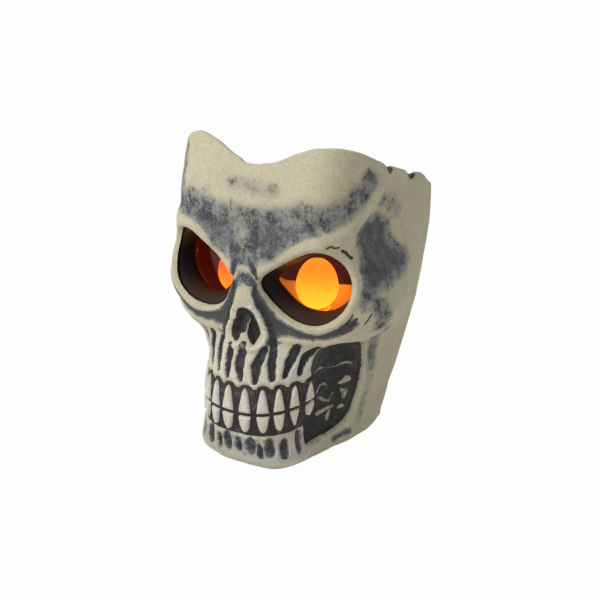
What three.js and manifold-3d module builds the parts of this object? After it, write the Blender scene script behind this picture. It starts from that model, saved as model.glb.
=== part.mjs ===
// A half skull for the halloween season, lit from inside through its eyes.
// It stands on its flat jaw or hangs on a wall by a keyhole in its back panel.
// Millimetres, +Z up, the face toward -Y. Shapes are drawn from the wall plane, y = 0,
// and the finished group is moved so that the origin is the middle of the flat foot.
import * as THREE from 'three';
import { mergeVertices } from 'three/addons/utils/BufferGeometryUtils.js';
import Module from 'manifold-3d';

const wasm = await Module();
wasm.setup();

// Where the origin lies in front of the wall plane.
const ORIGIN_TO_WALL = 72;

// Gap left between pieces that touch, and how far a cut runs past the face that it opens.
const TOUCH = 0.3;
const CUT_PAST = 1;

// The skull's form, level by level from the foot up: depth of the face, extra depth on the
// midline, half width at the cheeks, half width at the wall and squareness of the outline.
const LEVELS = [
  { z: 0, depth: 143, ridge: 0, cheek: 39.5, wall: 47, square: 5.0 },
  { z: 14, depth: 151, ridge: 0, cheek: 54, wall: 44.5, square: 4.2 },
  { z: 30, depth: 154, ridge: 0, cheek: 56, wall: 46.5, square: 3.2 },
  { z: 45, depth: 156, ridge: 0, cheek: 58, wall: 51.5, square: 2.75 },
  { z: 64, depth: 153, ridge: 0, cheek: 59, wall: 57, square: 2.75 },
  { z: 80, depth: 145, ridge: 3, cheek: 62, wall: 61.5, square: 2.8 },
  { z: 97, depth: 134, ridge: 9, cheek: 77, wall: 66, square: 3.3 },
  { z: 110, depth: 130, ridge: 12, cheek: 99, wall: 69.5, square: 4.0 },
  { z: 128, depth: 129, ridge: 14, cheek: 106, wall: 73, square: 4.8 },
  { z: 145, depth: 129, ridge: 12, cheek: 101, wall: 75.5, square: 5.2 },
  { z: 160, depth: 131, ridge: 9, cheek: 93, wall: 77.5, square: 5.4 },
  { z: 180, depth: 137, ridge: 5, cheek: 83, wall: 79, square: 5.6 },
  { z: 204, depth: 136, ridge: 3, cheek: 79.5, wall: 79.5, square: 5.6 },
  { z: 226, depth: 130, ridge: 2, cheek: 82, wall: 79, square: 5.4 },
  { z: 250, depth: 122, ridge: 1, cheek: 83, wall: 78, square: 5.0 },
];
const RIDGE_WIDTH = 20;
const CHEEK_REACH = 0.75;
const SHELL_WALL = 3.2;
const FLOOR = 3.2;

// The open top, cast as a broken edge: height of the rim on the left and on the right side
// against the run along it from the midline.
const RIM_LEVEL = 235;
const RIM = [
  { run: 0, left: 230, right: 230 },
  { run: 18, left: 231.5, right: 234 },
  { run: 36, left: 237.5, right: 242 },
  { run: 54, left: 244, right: 249.5 },
  { run: 66, left: 246, right: 251 },
  { run: 80, left: 243, right: 246 },
  { run: 112, left: 230.5, right: 228 },
  { run: 150, left: 220, right: 212 },
  { run: 187, left: 211.5, right: 199 },
];

// The sculpting is drawn flat: s runs round the head from the midline, positive on the left, and
// has this value at the wall edge.
const WALL_S = 200;

// Teeth, cast as part of the shell: middle and half width of each along s. The lines of the bite,
// the gum and the groove under the lower teeth rise away from the middle of the mouth. The lower
// teeth stop short of the groove.
const TEETH = [
  { middle: -68, half: 4.6 }, { middle: -56, half: 4.8 }, { middle: -43.5, half: 4.8 },
  { middle: -31, half: 5 }, { middle: -18, half: 5.2 }, { middle: -4.5, half: 6 },
  { middle: 11.5, half: 6 }, { middle: 26.5, half: 5.6 }, { middle: 39.5, half: 5 },
  { middle: 52, half: 4.9 }, { middle: 64.5, half: 4.9 }, { middle: 77, half: 4.6 },
];
const MOUTH_MIDDLE = 4;
const MOUTH_HALF = 76;
const BITE = { height: 48.3, rise: 0.0017 };
const GUM = { height: 67.5, rise: 0.0012 };
const GROOVE = { height: 31.4, rise: 0.0015 };
const LOWER_FOOT = 2.8;
const BITE_GAP = 0.7;
const UPPER_TAPER = 0.42;
const LOWER_TAPER = 0.26;
const UPPER_BLUNT = 9;
const LOWER_BLUNT = 6;
const TOOTH_RELIEF = 3;
const TOOTH_ROUND = 2.6;

// Gum with tapered slots between the roots, as paths of s, z and half width, and chin with oval
// slots: middle, height, half height and half width.
const GUM_ARCH = 2.9;
const GUM_ARCH_HALF = 6.6;
const GUM_RELIEF = 2;
const GUM_FADE = [84, 104];
const ROOT_SLOTS = [
  [[-66, 92, 2.6], [-61, 79, 2.2]],
  [[-53, 94, 2.8], [-48, 78, 2.2]],
  [[-40, 95, 2.6], [-40, 87, 3.2], [-34, 77, 1.8]],
  [[-28, 97, 2.8], [-27, 90, 3.6], [-22, 76, 2]],
  [[-13, 95, 2.8], [-12, 88, 4.2], [-10, 74, 2.2]],
  [[1, 97, 3.6], [0, 85, 4.6], [4, 72.5, 2]],
  [[19, 95, 3.6], [15.5, 84, 4.6], [17.5, 73.5, 2.8]],
  [[25, 103, 3], [28.5, 86, 3.6], [31, 75.5, 2.4]],
  [[45.5, 101, 3.6], [43, 89, 4.4], [41, 77.5, 2.6]],
  [[61, 100.5, 2], [54.5, 92, 3.8], [53, 78.5, 2.4]],
];
const SLOT_EDGE = [-1.3, 1.4];
const ROOT_SLOT_DEPTH = 2.6;
const CHIN_RELIEF = 1.9;
const CHIN_SLOTS = [
  [-52, 24, 8, 4.2], [-40, 23, 7, 4], [-25, 25, 8, 3.6], [-15.5, 21, 6, 2.4],
  [-7.5, 23.5, 8, 4.6], [3.5, 22, 6.5, 3.4], [15, 23, 7.5, 5], [23, 20, 6, 2.4],
  [31, 22.5, 8, 4.6], [42, 22.5, 7, 4.2], [55, 26, 9, 3.6],
];
const CHIN_SLOT_PAST = { wide: 0.6, high: 2 };
const CHIN_SLOT_EDGE = [0.5, 1.05];
const CHIN_SLOT_DEPTH = 2.4;

// Eyes: the plane of each eye rim, turned outward, and its outline in that plane.
const EYE_X = 46;
const EYE_Y = -128;
const EYE_Z = 147;
const EYE_TURN = THREE.MathUtils.degToRad(18);
const EYE_OUTLINE = [
  [-34, 0], [-17, 15.5], [9, 29.5], [28, 20.5], [35.5, 3],
  [28.5, -17], [10, -29.8], [-12, -27.2], [-30, -10],
];
const EYE_RING_MIDDLE = 3.6;
const EYE_RING_WIDTH = 4.2;
const EYE_RING_HEIGHT = 1.1;

// Eye cups, lenses and their rings, measured back from the eye plane.
const LENS_OUTLINE = [
  [-24, 0], [-8, 13.5], [12, 22.4], [27, 16], [34.5, 2],
  [28, -14], [14, -22.5], [-4, -20.5], [-18, -9],
];
const CUP_REACH = 26;
const CUP_MOUTH = 0.6;
const CUP_CLEARANCE = 0.5;
const CUP_DEPTH = 15;
const CUP_WALL = 1.8;
const CUP_FLANGE = 7;
const CUP_FLANGE_THICK = 2.4;
const LENS_THICK = 1.2;
const RING_THICK = 2;
const LENS_LIP = 1;

// Nose: a heart-shaped hollow, drawn as its left half, with a raised rim and a spur at its foot.
const NOSE = [
  [0, 128], [4, 126.5], [8, 121.5], [12, 115], [14, 109],
  [15, 102.5], [11, 98.5], [6.5, 99], [3.5, 102], [0, 105],
];
const NOSE_DEPTH = 6;
const NOSE_SLOPE = 4.5;
const NOSE_RIM_MIDDLE = 2;
const NOSE_RIM_WIDTH = 2.8;
const NOSE_RIM_HEIGHT = 1.2;
const SPUR_HALF = 4;
const SPUR_TOP = 118;
const SPUR_FOOT = 98;
const SPUR_SHARE = 0.55;
const NOSE_ROOM_DEPTH = 7;
const NOSE_ROOM = 9;

// Ridges of the brow and the cheekbone, and the sharp edges of the hollow cheek and the temple.
const BROW = [
  [11, 153], [21, 164], [41, 178], [55, 184], [68, 186.5], [80, 189.5], [91, 196], [99, 203],
  [114, 210], [121, 217],
];
const BROW_EDGE = [1.2, 7.2];
const BROW_HEIGHT = 1.3;
const CHEEKBONE = [
  [29, 104], [39, 105], [47, 104], [55, 104], [66, 105], [78, 108.5], [90, 109], [104, 114],
];
const CHEEKBONE_EDGE = [0.6, 5];
const CHEEKBONE_HEIGHT = 1;
const HOLLOW_CHEEK = [
  [62, 79], [60.5, 90], [63, 98], [68, 103], [76, 105.5], [91, 104.5], [108, 97], [119, 87],
  [126, 78], [130, 68], [131, 57], [129, 46], [124, 34], [116, 27.5], [105, 23], [94, 19.5],
  [82, 18], [67, 18], [62, 21], [61, 30], [61, 45], [62, 60], [62, 72],
];
const HOLLOW_EDGE = [-3.2, 0.6];
const HOLLOW_STEP = 2.6;
const HOLLOW_LIP_MIDDLE = 2.2;
const HOLLOW_LIP_WIDTH = 3;
const HOLLOW_LIP_HEIGHT = 0.9;
const HOLLOW_ROOM = 6;
const TEMPLE = [
  [90, 188], [96, 194], [117, 196], [133, 188], [138, 172], [153, 163], [155, 156], [146, 149],
  [112, 148], [96, 142], [87, 133], [84, 136], [89, 149], [88, 161], [93, 174],
];
const TEMPLE_EDGE = [-7, 7];
const TEMPLE_DEPTH = 1.1;

// Bone forms raised from the face, or sunk in it, along paths on the left side.
const BONE_FORMS = [
  { path: [[12, -138, 160], [30, -135, 172], [50, -136, 181], [64, -132, 183], [76, -122, 182],
    [82, -104, 194], [81, -88, 211], [80, -74, 228]], reach: 12, height: 2.6 },
  { path: [[36, -128, 105], [54, -119, 106], [67, -104, 106], [76, -84, 109],
    [78, -60, 114], [76, -30, 121]], reach: 12, height: 3 },
  { path: [[60, -98, 88], [54, -95, 64], [50, -100, 42], [46, -110, 26]], reach: 28, height: -11 },
  { path: [[84, -88, 180], [86, -70, 172]], reach: 27, height: -4 },
  { path: [[46, -134, 208], [30, -134, 214]], reach: 34, height: 2.2 },
  { path: [[47, -6, 0], [47, -2, 0]], reach: 24, height: -2.5 },
  { path: [[44, -42, 0], [43, -62, 2]], reach: 24, height: 2.8 },
];

// Grid of the shell: columns on each tooth as shares of its half width, columns on each side, and
// rows of each height. The cavity has a plainer grid.
const TOOTH_COLUMNS = [-1, -0.55, 0.55, 1];
const CHEEK_COLUMN_STEP = 7;
const CHEEK_COLUMNS_END = 131;
const SIDE_COLUMNS = 4;
const FOOT_ROWS = [0, 3, 7, 11, 14];
const MOUTH_ROW_STEP = 2.5;
const MOUTH_ROWS_TOP = 80;
const NOSE_ROW_STEP = 4.2;
const NOSE_ROWS_TOP = 132;
const FACE_ROW_STEP = 7;
const FACE_ROWS_TOP = 188;
const CAVITY_FRONT = 0.415;
const CAVITY_FRONT_COLUMNS = 12;
const CAVITY_SIDE_COLUMNS = 6;
const RIM_ROWS = 5;
const CAVITY_ROW_STEP = 10;
const HOLLOW_OVERRUN = 12;

// The inside stands off further where the wall slopes: behind the cheek hollow, and along the
// ledge under the cheekbones.
const HOLLOW_EASE = 1.35;
const LEDGE_Z = 100;
const LEDGE_ROOM = 4;
const LEDGE_REACH = 20;

// Steps of the outlines.
const RUN_STEPS = 240;
const TURN_STEP = 0.01;
const QUARTER = Math.PI / 2;
const OUTLINE_STEPS = 28;

// Back panel, set into the open back.
const PANEL_THICK = 3;
const PANEL_TOP = 198;
const PANEL_CLEARANCE = 0.5;
const PANEL_SCREW_HEIGHTS = [20, 108, 186];
const PANEL_SCREW_INSET = 6;
const BOSS_RADIUS = 4.2;
const BOSS_LENGTH = 16;
const BOSS_WEB = 3;
const KEYHOLE_Z = 172;
const KEYHOLE_HEAD_RADIUS = 4.6;
const KEYHOLE_SLOT_WIDTH = 4.8;
const KEYHOLE_SLOT_LENGTH = 10;

// Screws.
const SCREW_RADIUS = 1.25;
const SCREW_HEAD_RADIUS = 2.8;
const SCREW_HEAD = 1.5;
const SCREW_LENGTH = 10;
const SCREW_SINK = 0.4;
const SCREW_SIDES = 6;
const ROD_SIDES = 10;
const LENS_SCREW_RADIUS = 0.8;
const LENS_SCREW_HEAD_RADIUS = 1.7;
const LENS_SCREW_HEAD = 1.1;

// Lamp bar: a swept plate behind the lamps with a shelf under them.
const BAR_DEPTH = 54;
const BAR_THICK = 3;
const BAR_TOP = 133;
const SHELF_Z = 98;
const SHELF_THICK = 3;
const SHELF_FRONT = 22;
const SHELF_HALF_WIDTH = 48;
const BAR_EAR_X = 54;
const BAR_END_X = 64;
const BAR_EAR_FOOT = 102;
const POST_X = 60;
const POST_Z = 106;
const POST_RADIUS = 4.2;
const POST_REACH = 50;

// Lamps: holder, board, light diode and egg-shaped bulb.
const LAMP_X = 36;
const LAMP_Y = -96;
const HOLDER_RADIUS = 11;
const HOLDER_HEIGHT = 19;
const SOCKET_DEPTH = 8;
const SOCKET_WELL = 4;
const BOARD_RADIUS = 8.2;
const BOARD_THICK = 1.6;
const BOARD_LEDGE = 1.2;
const HOLDER_GRIP = 5;
const LAMP_SIDES = 16;
const DIODE_RADIUS = 2.5;
const DIODE_HEIGHT = 6.5;
const DIODE_RIM_RADIUS = 2.9;
const DIODE_RIM = 1;
const BULB_RADIUS = 16;
const BULB_HEIGHT = 38.6;
const BULB_WIDEST = 0.42;
const BULB_WALL = 1.5;
const BULB_STEPS = 8;

// Battery box for three AA cells, and its side-hinged door in the panel.
const CELLS = 3;
const CELL_RADIUS = 7.15;
const CELL_LENGTH = 49.5;
const CELL_NUB_RADIUS = 2.7;
const CELL_NUB = 1;
const CELL_PITCH = 15;
const CELL_SIDES = 14;
const BOX_Z = 30;
const BOX_WALL = 1.8;
const BOX_SIDE_SPACE = 0.9;
const PLATE_THICK = 0.5;
const PLATE_WIDTH = 9;
const SPRING_LENGTH = 7.6;
const SPRING_RADIUS = 3;
const SPRING_WIRE = 0.4;
const SPRING_CURLS = 3;
const SPRING_STEPS = 8;
const SPRING_SIDES = 5;
const DOOR_REST = 1.2;
const DOOR_SCREW_MARGIN = 5;
const DOOR_EDGE = 4.5;
const DOOR_SCREW_PLAY = 0.7;
const HINGE_RADIUS = 2.4;
const HINGE_PIN_RADIUS = 0.9;
const HINGE_SWING_ROOM = 3.5;
const HINGE_LUG = 5;
const EAR_LENGTH = 10;
const EAR_HALF_WIDTH = 5;

// Slide switch above the battery box.
const SWITCH_Z = 126;
const SWITCH_LENGTH = 18;
const SWITCH_HEIGHT = 9;
const SWITCH_DEEP = 7;
const SWITCH_EAR = 8;
const SWITCH_EAR_THICK = 2.5;
const KNOB_LENGTH = 4;
const KNOB_HEIGHT = 4;
const KNOB_FOOT = 7;
const KNOB_FOOT_DEEP = 2.2;
const KNOB_TRAVEL = 4;
const KNOB_RECESS = 0.4;
const SWITCH_SCREW_LENGTH = 6;

// Leads.
const LEAD_RADIUS = 0.9;
const LEAD_SIDES = 8;
const LEAD_HOLE = 1.5;
const LEAD_STEPS = 18;
const LEAD_START = 4;
const LEAD_SWEEP = [[32, -44, 111.3], [18, -26, 117.3]];
const LEAD_LANDING = 6;
const LEAD_RISE = 8;
const LEAD_BELLY = 3;
const BATTERY_LEAD_X = 12;

// Colours and finishes.
function finish(color, roughness, metalness = 0) {
  return new THREE.MeshStandardMaterial({ color, roughness, metalness });
}

const BONE = finish('#c6bfa4', 0.75);
const SOCKET_BLACK = finish('#241a1e', 0.8);
const AMBER = finish('#ff7a1a', 0.15);
const LAMP_GLOW = finish('#ffb347', 0.35);
const WHITE_PLASTIC = finish('#e6e0d2', 0.55);
const BLACK_PLASTIC = finish('#1f1f21', 0.6);
const BOARD_GREEN = finish('#2f6b45', 0.5);
const DIODE_CLEAR = finish('#fff0c8', 0.1);
const STEEL = finish('#b9babd', 0.35, 1);
const CELL_JACKET = finish('#3d5a52', 0.4);
const LEAD_RED = finish('#8c2320', 0.5);

// Closed geometry from points and triangles, turned to face outward.
function closedGeometry(points, triangles) {
  let volume = 0;
  const corner = [new THREE.Vector3(), new THREE.Vector3(), new THREE.Vector3()];
  for (let i = 0; i < triangles.length; i += 3) {
    corner.forEach((c, k) => c.fromArray(points, 3 * triangles[i + k]));
    volume += corner[0].dot(corner[1].cross(corner[2]));
  }
  const geometry = new THREE.BufferGeometry();
  geometry.setAttribute('position', new THREE.Float32BufferAttribute(points, 3));
  geometry.setIndex(volume < 0 ? triangles.toReversed() : triangles);
  return geometry;
}

// Skin through a stack of like rings, closed at both ends about each end's middle.
function loft(rings) {
  const count = rings[0].length;
  const points = rings.flat(2);
  const triangles = [];
  for (let r = 0; r + 1 < rings.length; r += 1) {
    for (let k = 0; k < count; k += 1) {
      const a = r * count + k;
      const b = r * count + (k + 1) % count;
      triangles.push(a, b, b + count, a, b + count, a + count);
    }
  }
  const closeEnd = (ring, start, backward) => {
    const middle = points.length / 3;
    for (let axis = 0; axis < 3; axis += 1) {
      points.push(ring.reduce((sum, p) => sum + p[axis], 0) / count);
    }
    for (let k = 0; k < count; k += 1) {
      const a = start + k;
      const b = start + (k + 1) % count;
      triangles.push(middle, backward ? b : a, backward ? a : b);
    }
  };
  closeEnd(rings[0], 0, true);
  closeEnd(rings.at(-1), (rings.length - 1) * count, false);
  return closedGeometry(points, triangles);
}

// Solids for cutting and joining, without the slivers that shared points leave.
function solid(geometry) {
  const bare = geometry.clone();
  bare.deleteAttribute('normal');
  bare.deleteAttribute('uv');
  const merged = mergeVertices(bare);
  const triangles = [];
  for (let i = 0; i < merged.index.count; i += 3) {
    const [a, b, c] = [0, 1, 2].map((k) => merged.index.getX(i + k));
    if (a !== b && b !== c && c !== a) triangles.push(a, b, c);
  }
  return new wasm.Manifold(new wasm.Mesh({
    numProp: 3,
    vertProperties: new Float32Array(merged.attributes.position.array),
    triVerts: new Uint32Array(triangles),
  }));
}

function geometryOf(body) {
  const mesh = body.getMesh();
  const geometry = new THREE.BufferGeometry();
  geometry.setAttribute('position', new THREE.BufferAttribute(new Float32Array(mesh.vertProperties), 3));
  geometry.setIndex([...mesh.triVerts]);
  geometry.computeVertexNormals();
  return geometry;
}

const joined = (...shapes) => shapes.map(solid).reduce((a, b) => a.add(b));
const without = (body, ...tools) => tools.map(solid).reduce((a, b) => a.subtract(b), body);

function mirrored(geometry) {
  const copy = geometry.clone();
  copy.scale(-1, 1, 1);
  copy.setIndex([...copy.index.array].toReversed());
  copy.computeVertexNormals();
  return copy;
}

// A box between two corners, a rod between two points, and a turned piece standing on a point.
function block(low, high) {
  const box = new THREE.BoxGeometry(...high.map((h, axis) => h - low[axis]));
  return box.translate(...high.map((h, axis) => (h + low[axis]) / 2));
}

function rod(radius, start, end, sides = ROD_SIDES) {
  const from = new THREE.Vector3(...start);
  const to = new THREE.Vector3(...end);
  const shape = new THREE.CylinderGeometry(radius, radius, from.distanceTo(to), sides);
  const along = to.clone().sub(from).normalize();
  shape.applyQuaternion(new THREE.Quaternion().setFromUnitVectors(new THREE.Vector3(0, 1, 0), along));
  const middle = from.add(to).multiplyScalar(0.5);
  return shape.translate(middle.x, middle.y, middle.z);
}

function turned(profile, place, sides) {
  const shape = new THREE.LatheGeometry(profile.map((p) => new THREE.Vector2(...p)), sides);
  return shape.rotateX(Math.PI / 2).translate(...place);
}

// Flat shapes, and a slab of one lying level.
const flatShape = (points) => new THREE.Shape(points.map((p) => new THREE.Vector2(...p)));

function slab(shape, low, high) {
  return new THREE.ExtrudeGeometry(shape, { depth: high - low, bevelEnabled: false }).translate(0, 0, low);
}

// A screw with a plain round head. Its seat is the point under the head.
const PLAIN_SCREW = { radius: SCREW_RADIUS, headRadius: SCREW_HEAD_RADIUS, head: SCREW_HEAD };
const LENS_SCREW = { radius: LENS_SCREW_RADIUS, headRadius: LENS_SCREW_HEAD_RADIUS, head: LENS_SCREW_HEAD };

function screw(seat, direction, length, { radius, headRadius, head } = PLAIN_SCREW) {
  const at = (step) => seat.map((s, axis) => s + direction[axis] * step);
  const shank = rod(radius, at(-head / 2), at(length), SCREW_SIDES);
  return geometryOf(joined(rod(headRadius, at(-head), at(0)), shank));
}

const screwHole = (start, end, play = TOUCH) => rod(SCREW_RADIUS + play, start, end, SCREW_SIDES);

// Steady curve through the levels' values: no bulge between two levels.
function steadyCurve(stations, at, value) {
  const x = stations.map((s) => s[at]);
  const v = stations.map((s) => s[value]);
  const rise = v.slice(1).map((next, i) => (next - v[i]) / (x[i + 1] - x[i]));
  const slope = v.map((_, i) => {
    const [before, after] = [rise[i - 1] ?? rise[i], rise[i] ?? rise[i - 1]];
    return before * after <= 0 ? 0 : (2 * before * after) / (before + after);
  });
  return (place) => {
    const p = THREE.MathUtils.clamp(place, x[0], x.at(-1));
    const i = Math.max(0, x.findLastIndex((start, k) => start <= p && k < x.length - 1));
    const width = x[i + 1] - x[i];
    const t = (p - x[i]) / width;
    const ends = v[i] * (1 + 2 * t) * (1 - t) ** 2 + v[i + 1] * t * t * (3 - 2 * t);
    return ends + width * t * (1 - t) * (slope[i] * (1 - t) - slope[i + 1] * t);
  };
}

const depthAt = steadyCurve(LEVELS, 'z', 'depth');
const ridgeAt = steadyCurve(LEVELS, 'z', 'ridge');
const cheekAt = steadyCurve(LEVELS, 'z', 'cheek');
const wallAt = steadyCurve(LEVELS, 'z', 'wall');
const squareAt = steadyCurve(LEVELS, 'z', 'square');
const leftRimAt = steadyCurve(RIM, 'run', 'left');
const rightRimAt = steadyCurve(RIM, 'run', 'right');

// One point of a level's outline. The turn goes from a quarter circle right to a quarter left.
function outlinePoint(turn, z) {
  const power = 2 / squareAt(z);
  const forward = Math.abs(Math.cos(turn)) ** power;
  const half = wallAt(z) + (cheekAt(z) - wallAt(z)) * Math.min(1, forward / CHEEK_REACH);
  const x = half * Math.sign(turn) * Math.abs(Math.sin(turn)) ** power;
  return [x, -depthAt(z) * forward - ridgeAt(z) * Math.exp(-((x / RIDGE_WIDTH) ** 2))];
}

// Runs along a level's half outline, kept for each level that is asked for.
const runs = new Map();
function runTable(z) {
  const key = Math.round(z);
  if (!runs.has(key)) {
    const table = [0];
    let last = outlinePoint(0, key);
    for (let i = 1; i <= RUN_STEPS; i += 1) {
      const next = outlinePoint((i / RUN_STEPS) * QUARTER, key);
      table.push(table[i - 1] + Math.hypot(next[0] - last[0], next[1] - last[1]));
      last = next;
    }
    runs.set(key, table);
  }
  return runs.get(key);
}

const halfRun = (z) => runTable(z).at(-1);

// Turn that lies at a share of a level's half outline.
function turnAt(share, z) {
  const table = runTable(z);
  const want = Math.abs(share) * table.at(-1);
  const i = Math.min(RUN_STEPS - 1, Math.max(0, table.findLastIndex((run) => run <= want)));
  const part = (want - table[i]) / (table[i + 1] - table[i]);
  return Math.sign(share) * Math.min(QUARTER, ((i + part) / RUN_STEPS) * QUARTER);
}

// Soft bump, 1 at the middle and 0 from the reach on.
const bump = (distance, reach) => (distance < reach ? (1 - (distance / reach) ** 2) ** 2 : 0);

function pathDistance(point, path) {
  const near = new THREE.Vector3();
  const stretch = new THREE.Line3();
  const distances = path.slice(1).map((end, i) => {
    stretch.set(new THREE.Vector3(...path[i]), new THREE.Vector3(...end));
    return stretch.closestPointToPoint(point, true, near).distanceTo(point);
  });
  return Math.min(...distances);
}

// Smooth step from 0 at the first value to 1 at the second, which may be the lower one.
function ease(value, [from, to]) {
  const t = THREE.MathUtils.clamp((value - from) / (to - from), 0, 1);
  return t * t * (3 - 2 * t);
}

function flatDistance(s, z, path) {
  return pathDistance(new THREE.Vector3(s, z, 0), path.map(([a, b]) => [a, b, 0]));
}

// Distance to a closed drawn outline, negative inside it.
function areaDistance(s, z, corners) {
  const distance = flatDistance(s, z, [...corners, corners[0]]);
  const crossings = corners.filter(([as, az], i) => {
    const [bs, bz] = corners[(i + 1) % corners.length];
    return (az > z) !== (bz > z) && s < as + ((z - az) * (bs - as)) / (bz - az);
  });
  return crossings.length % 2 === 1 ? -distance : distance;
}

// How far a drawn point lies inside a tapered stroke, negative outside it.
function strokeDepth(s, z, path) {
  const depths = path.slice(1).map(([endS, endZ, endHalf], i) => {
    const [startS, startZ, startHalf] = path[i];
    const [alongS, alongZ] = [endS - startS, endZ - startZ];
    const share = ((s - startS) * alongS + (z - startZ) * alongZ) / (alongS ** 2 + alongZ ** 2);
    const t = THREE.MathUtils.clamp(share, 0, 1);
    const away = Math.hypot(s - startS - t * alongS, z - startZ - t * alongZ);
    return startHalf + t * (endHalf - startHalf) - away;
  });
  return Math.max(...depths);
}

// Broad forms of the bone, which the inside of the shell follows where they go in.
function boneRelief(x, y, z) {
  const point = new THREE.Vector3(Math.abs(x), y, z);
  return BONE_FORMS.reduce((sum, f) => sum + f.height * bump(pathDistance(point, f.path), f.reach), 0);
}

const noseOutline = [...NOSE, ...NOSE.slice(1, -1).toReversed().map(([s, z]) => [-s, z])];

function noseRelief(s, z) {
  const gap = areaDistance(s, z, noseOutline);
  const spur = bump(Math.abs(s), SPUR_HALF) * ease(z, [SPUR_TOP, SPUR_FOOT]);
  const hole = (1 - ease(gap, [-NOSE_SLOPE, 0])) * (1 - SPUR_SHARE * spur);
  return NOSE_RIM_HEIGHT * bump(Math.abs(gap - NOSE_RIM_MIDDLE), NOSE_RIM_WIDTH) - NOSE_DEPTH * hole;
}

const noseRoom = (s, z) => -NOSE_ROOM_DEPTH * (1 - ease(areaDistance(s, z, noseOutline), [0, NOSE_ROOM]));

// The step down into the hollow cheek, with room round it for the inside of the shell.
function hollowRelief(s, z, room) {
  const gap = areaDistance(Math.abs(s), z, HOLLOW_CHEEK) - room;
  return -HOLLOW_STEP * (1 - ease(gap, HOLLOW_EDGE));
}

function ridgeRelief(s, z) {
  const side = Math.abs(s);
  const lip = Math.abs(areaDistance(side, z, HOLLOW_CHEEK) - HOLLOW_LIP_MIDDLE);
  return BROW_HEIGHT * (1 - ease(flatDistance(side, z, BROW), BROW_EDGE))
    + CHEEKBONE_HEIGHT * (1 - ease(flatDistance(side, z, CHEEKBONE), CHEEKBONE_EDGE))
    + HOLLOW_LIP_HEIGHT * bump(lip, HOLLOW_LIP_WIDTH)
    - TEMPLE_DEPTH * (1 - ease(areaDistance(side, z, TEMPLE), TEMPLE_EDGE));
}

// A tooth is a tapered peg with a blunt end, rounded over its edge.
function toothRelief(s, z, tooth, line) {
  const upper = z > line.bite;
  const fromBite = Math.abs(z - line.bite) - BITE_GAP;
  const lowerFoot = line.groove + LOWER_FOOT;
  const length = upper ? line.gum - line.bite - BITE_GAP : line.bite - BITE_GAP - lowerFoot;
  const along = Math.max(0, fromBite / length);
  if (along >= 1) return 0;
  const [taper, blunt] = upper ? [UPPER_TAPER, UPPER_BLUNT] : [LOWER_TAPER, LOWER_BLUNT];
  const half = tooth.half * (1 - taper * along) * Math.sqrt(1 - along ** blunt);
  const inside = Math.min(half - Math.abs(s - tooth.middle), fromBite);
  const round = THREE.MathUtils.clamp(inside / TOOTH_ROUND, 0, 1);
  return TOOTH_RELIEF * Math.sqrt(1 - (1 - round) ** 2);
}

// Teeth, gum with its root slots, and chin with its slots, on the outside only.
function mouthRelief(s, z) {
  const fromMiddle = Math.abs(s - MOUTH_MIDDLE);
  const [bite, gum, groove] = [BITE, GUM, GROOVE].map((l) => l.height + l.rise * fromMiddle ** 2);
  const tooth = TEETH.reduce((a, b) => (Math.abs(s - b.middle) < Math.abs(s - a.middle) ? b : a));
  const across = Math.abs(s - tooth.middle) / GUM_ARCH_HALF;
  const arch = gum + GUM_ARCH * Math.max(0, 1 - across ** 2);
  const gumRoll = ease(z, [arch - 0.6, arch + 2.2]) * (1 - ease(z, GUM_FADE)) * ease(fromMiddle, [82, 66]);
  const chinRoll = ease(z, [groove, groove - 2.4]) * ease(z, [3, 12]) * ease(fromMiddle, [70, 56]);
  const rootSlot = Math.max(...ROOT_SLOTS.map((path) => ease(strokeDepth(s, z, path), SLOT_EDGE)));
  const chinSlot = Math.max(...CHIN_SLOTS.map(([middle, height, half, wide]) => {
    const acrossSlot = (s - middle) / (wide + CHIN_SLOT_PAST.wide);
    const upSlot = (z - height) / (half + CHIN_SLOT_PAST.high);
    return 1 - ease(Math.hypot(acrossSlot, upSlot), CHIN_SLOT_EDGE);
  }));
  return toothRelief(s, z, tooth, { bite, gum, groove }) * ease(fromMiddle, [MOUTH_HALF, MOUTH_HALF - 6])
    + GUM_RELIEF * gumRoll - ROOT_SLOT_DEPTH * rootSlot * Math.sqrt(gumRoll)
    + CHIN_RELIEF * chinRoll - CHIN_SLOT_DEPTH * chinSlot * Math.sqrt(chinRoll);
}

function eyeRingRelief(x, y, z) {
  const q = (Math.abs(x) - EYE_X) * Math.cos(EYE_TURN) + (y - EYE_Y) * Math.sin(EYE_TURN);
  const gap = areaDistance(q, z - EYE_Z, eyeRim);
  return EYE_RING_HEIGHT * bump(Math.abs(gap - EYE_RING_MIDDLE), EYE_RING_WIDTH);
}

// A point of the skin, moved out by a relief or in by an inset.
function skinPoint(share, z, offsetAt) {
  const turn = turnAt(share, z);
  const [x, y] = outlinePoint(turn, z);
  const [ax, ay] = outlinePoint(Math.max(-QUARTER, turn - TURN_STEP), z);
  const [bx, by] = outlinePoint(Math.min(QUARTER, turn + TURN_STEP), z);
  const length = Math.hypot(bx - ax, by - ay);
  const offset = offsetAt(x, y, z, share * WALL_S);
  const rear = Math.abs(share) === 1;
  return [x + ((by - ay) / length) * offset, rear ? 0 : Math.min(0, y - ((bx - ax) / length) * offset), z];
}

function rimHeight(share) {
  const run = Math.abs(share) * halfRun(RIM_LEVEL);
  return share < 0 ? rightRimAt(run) : leftRimAt(run);
}

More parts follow.
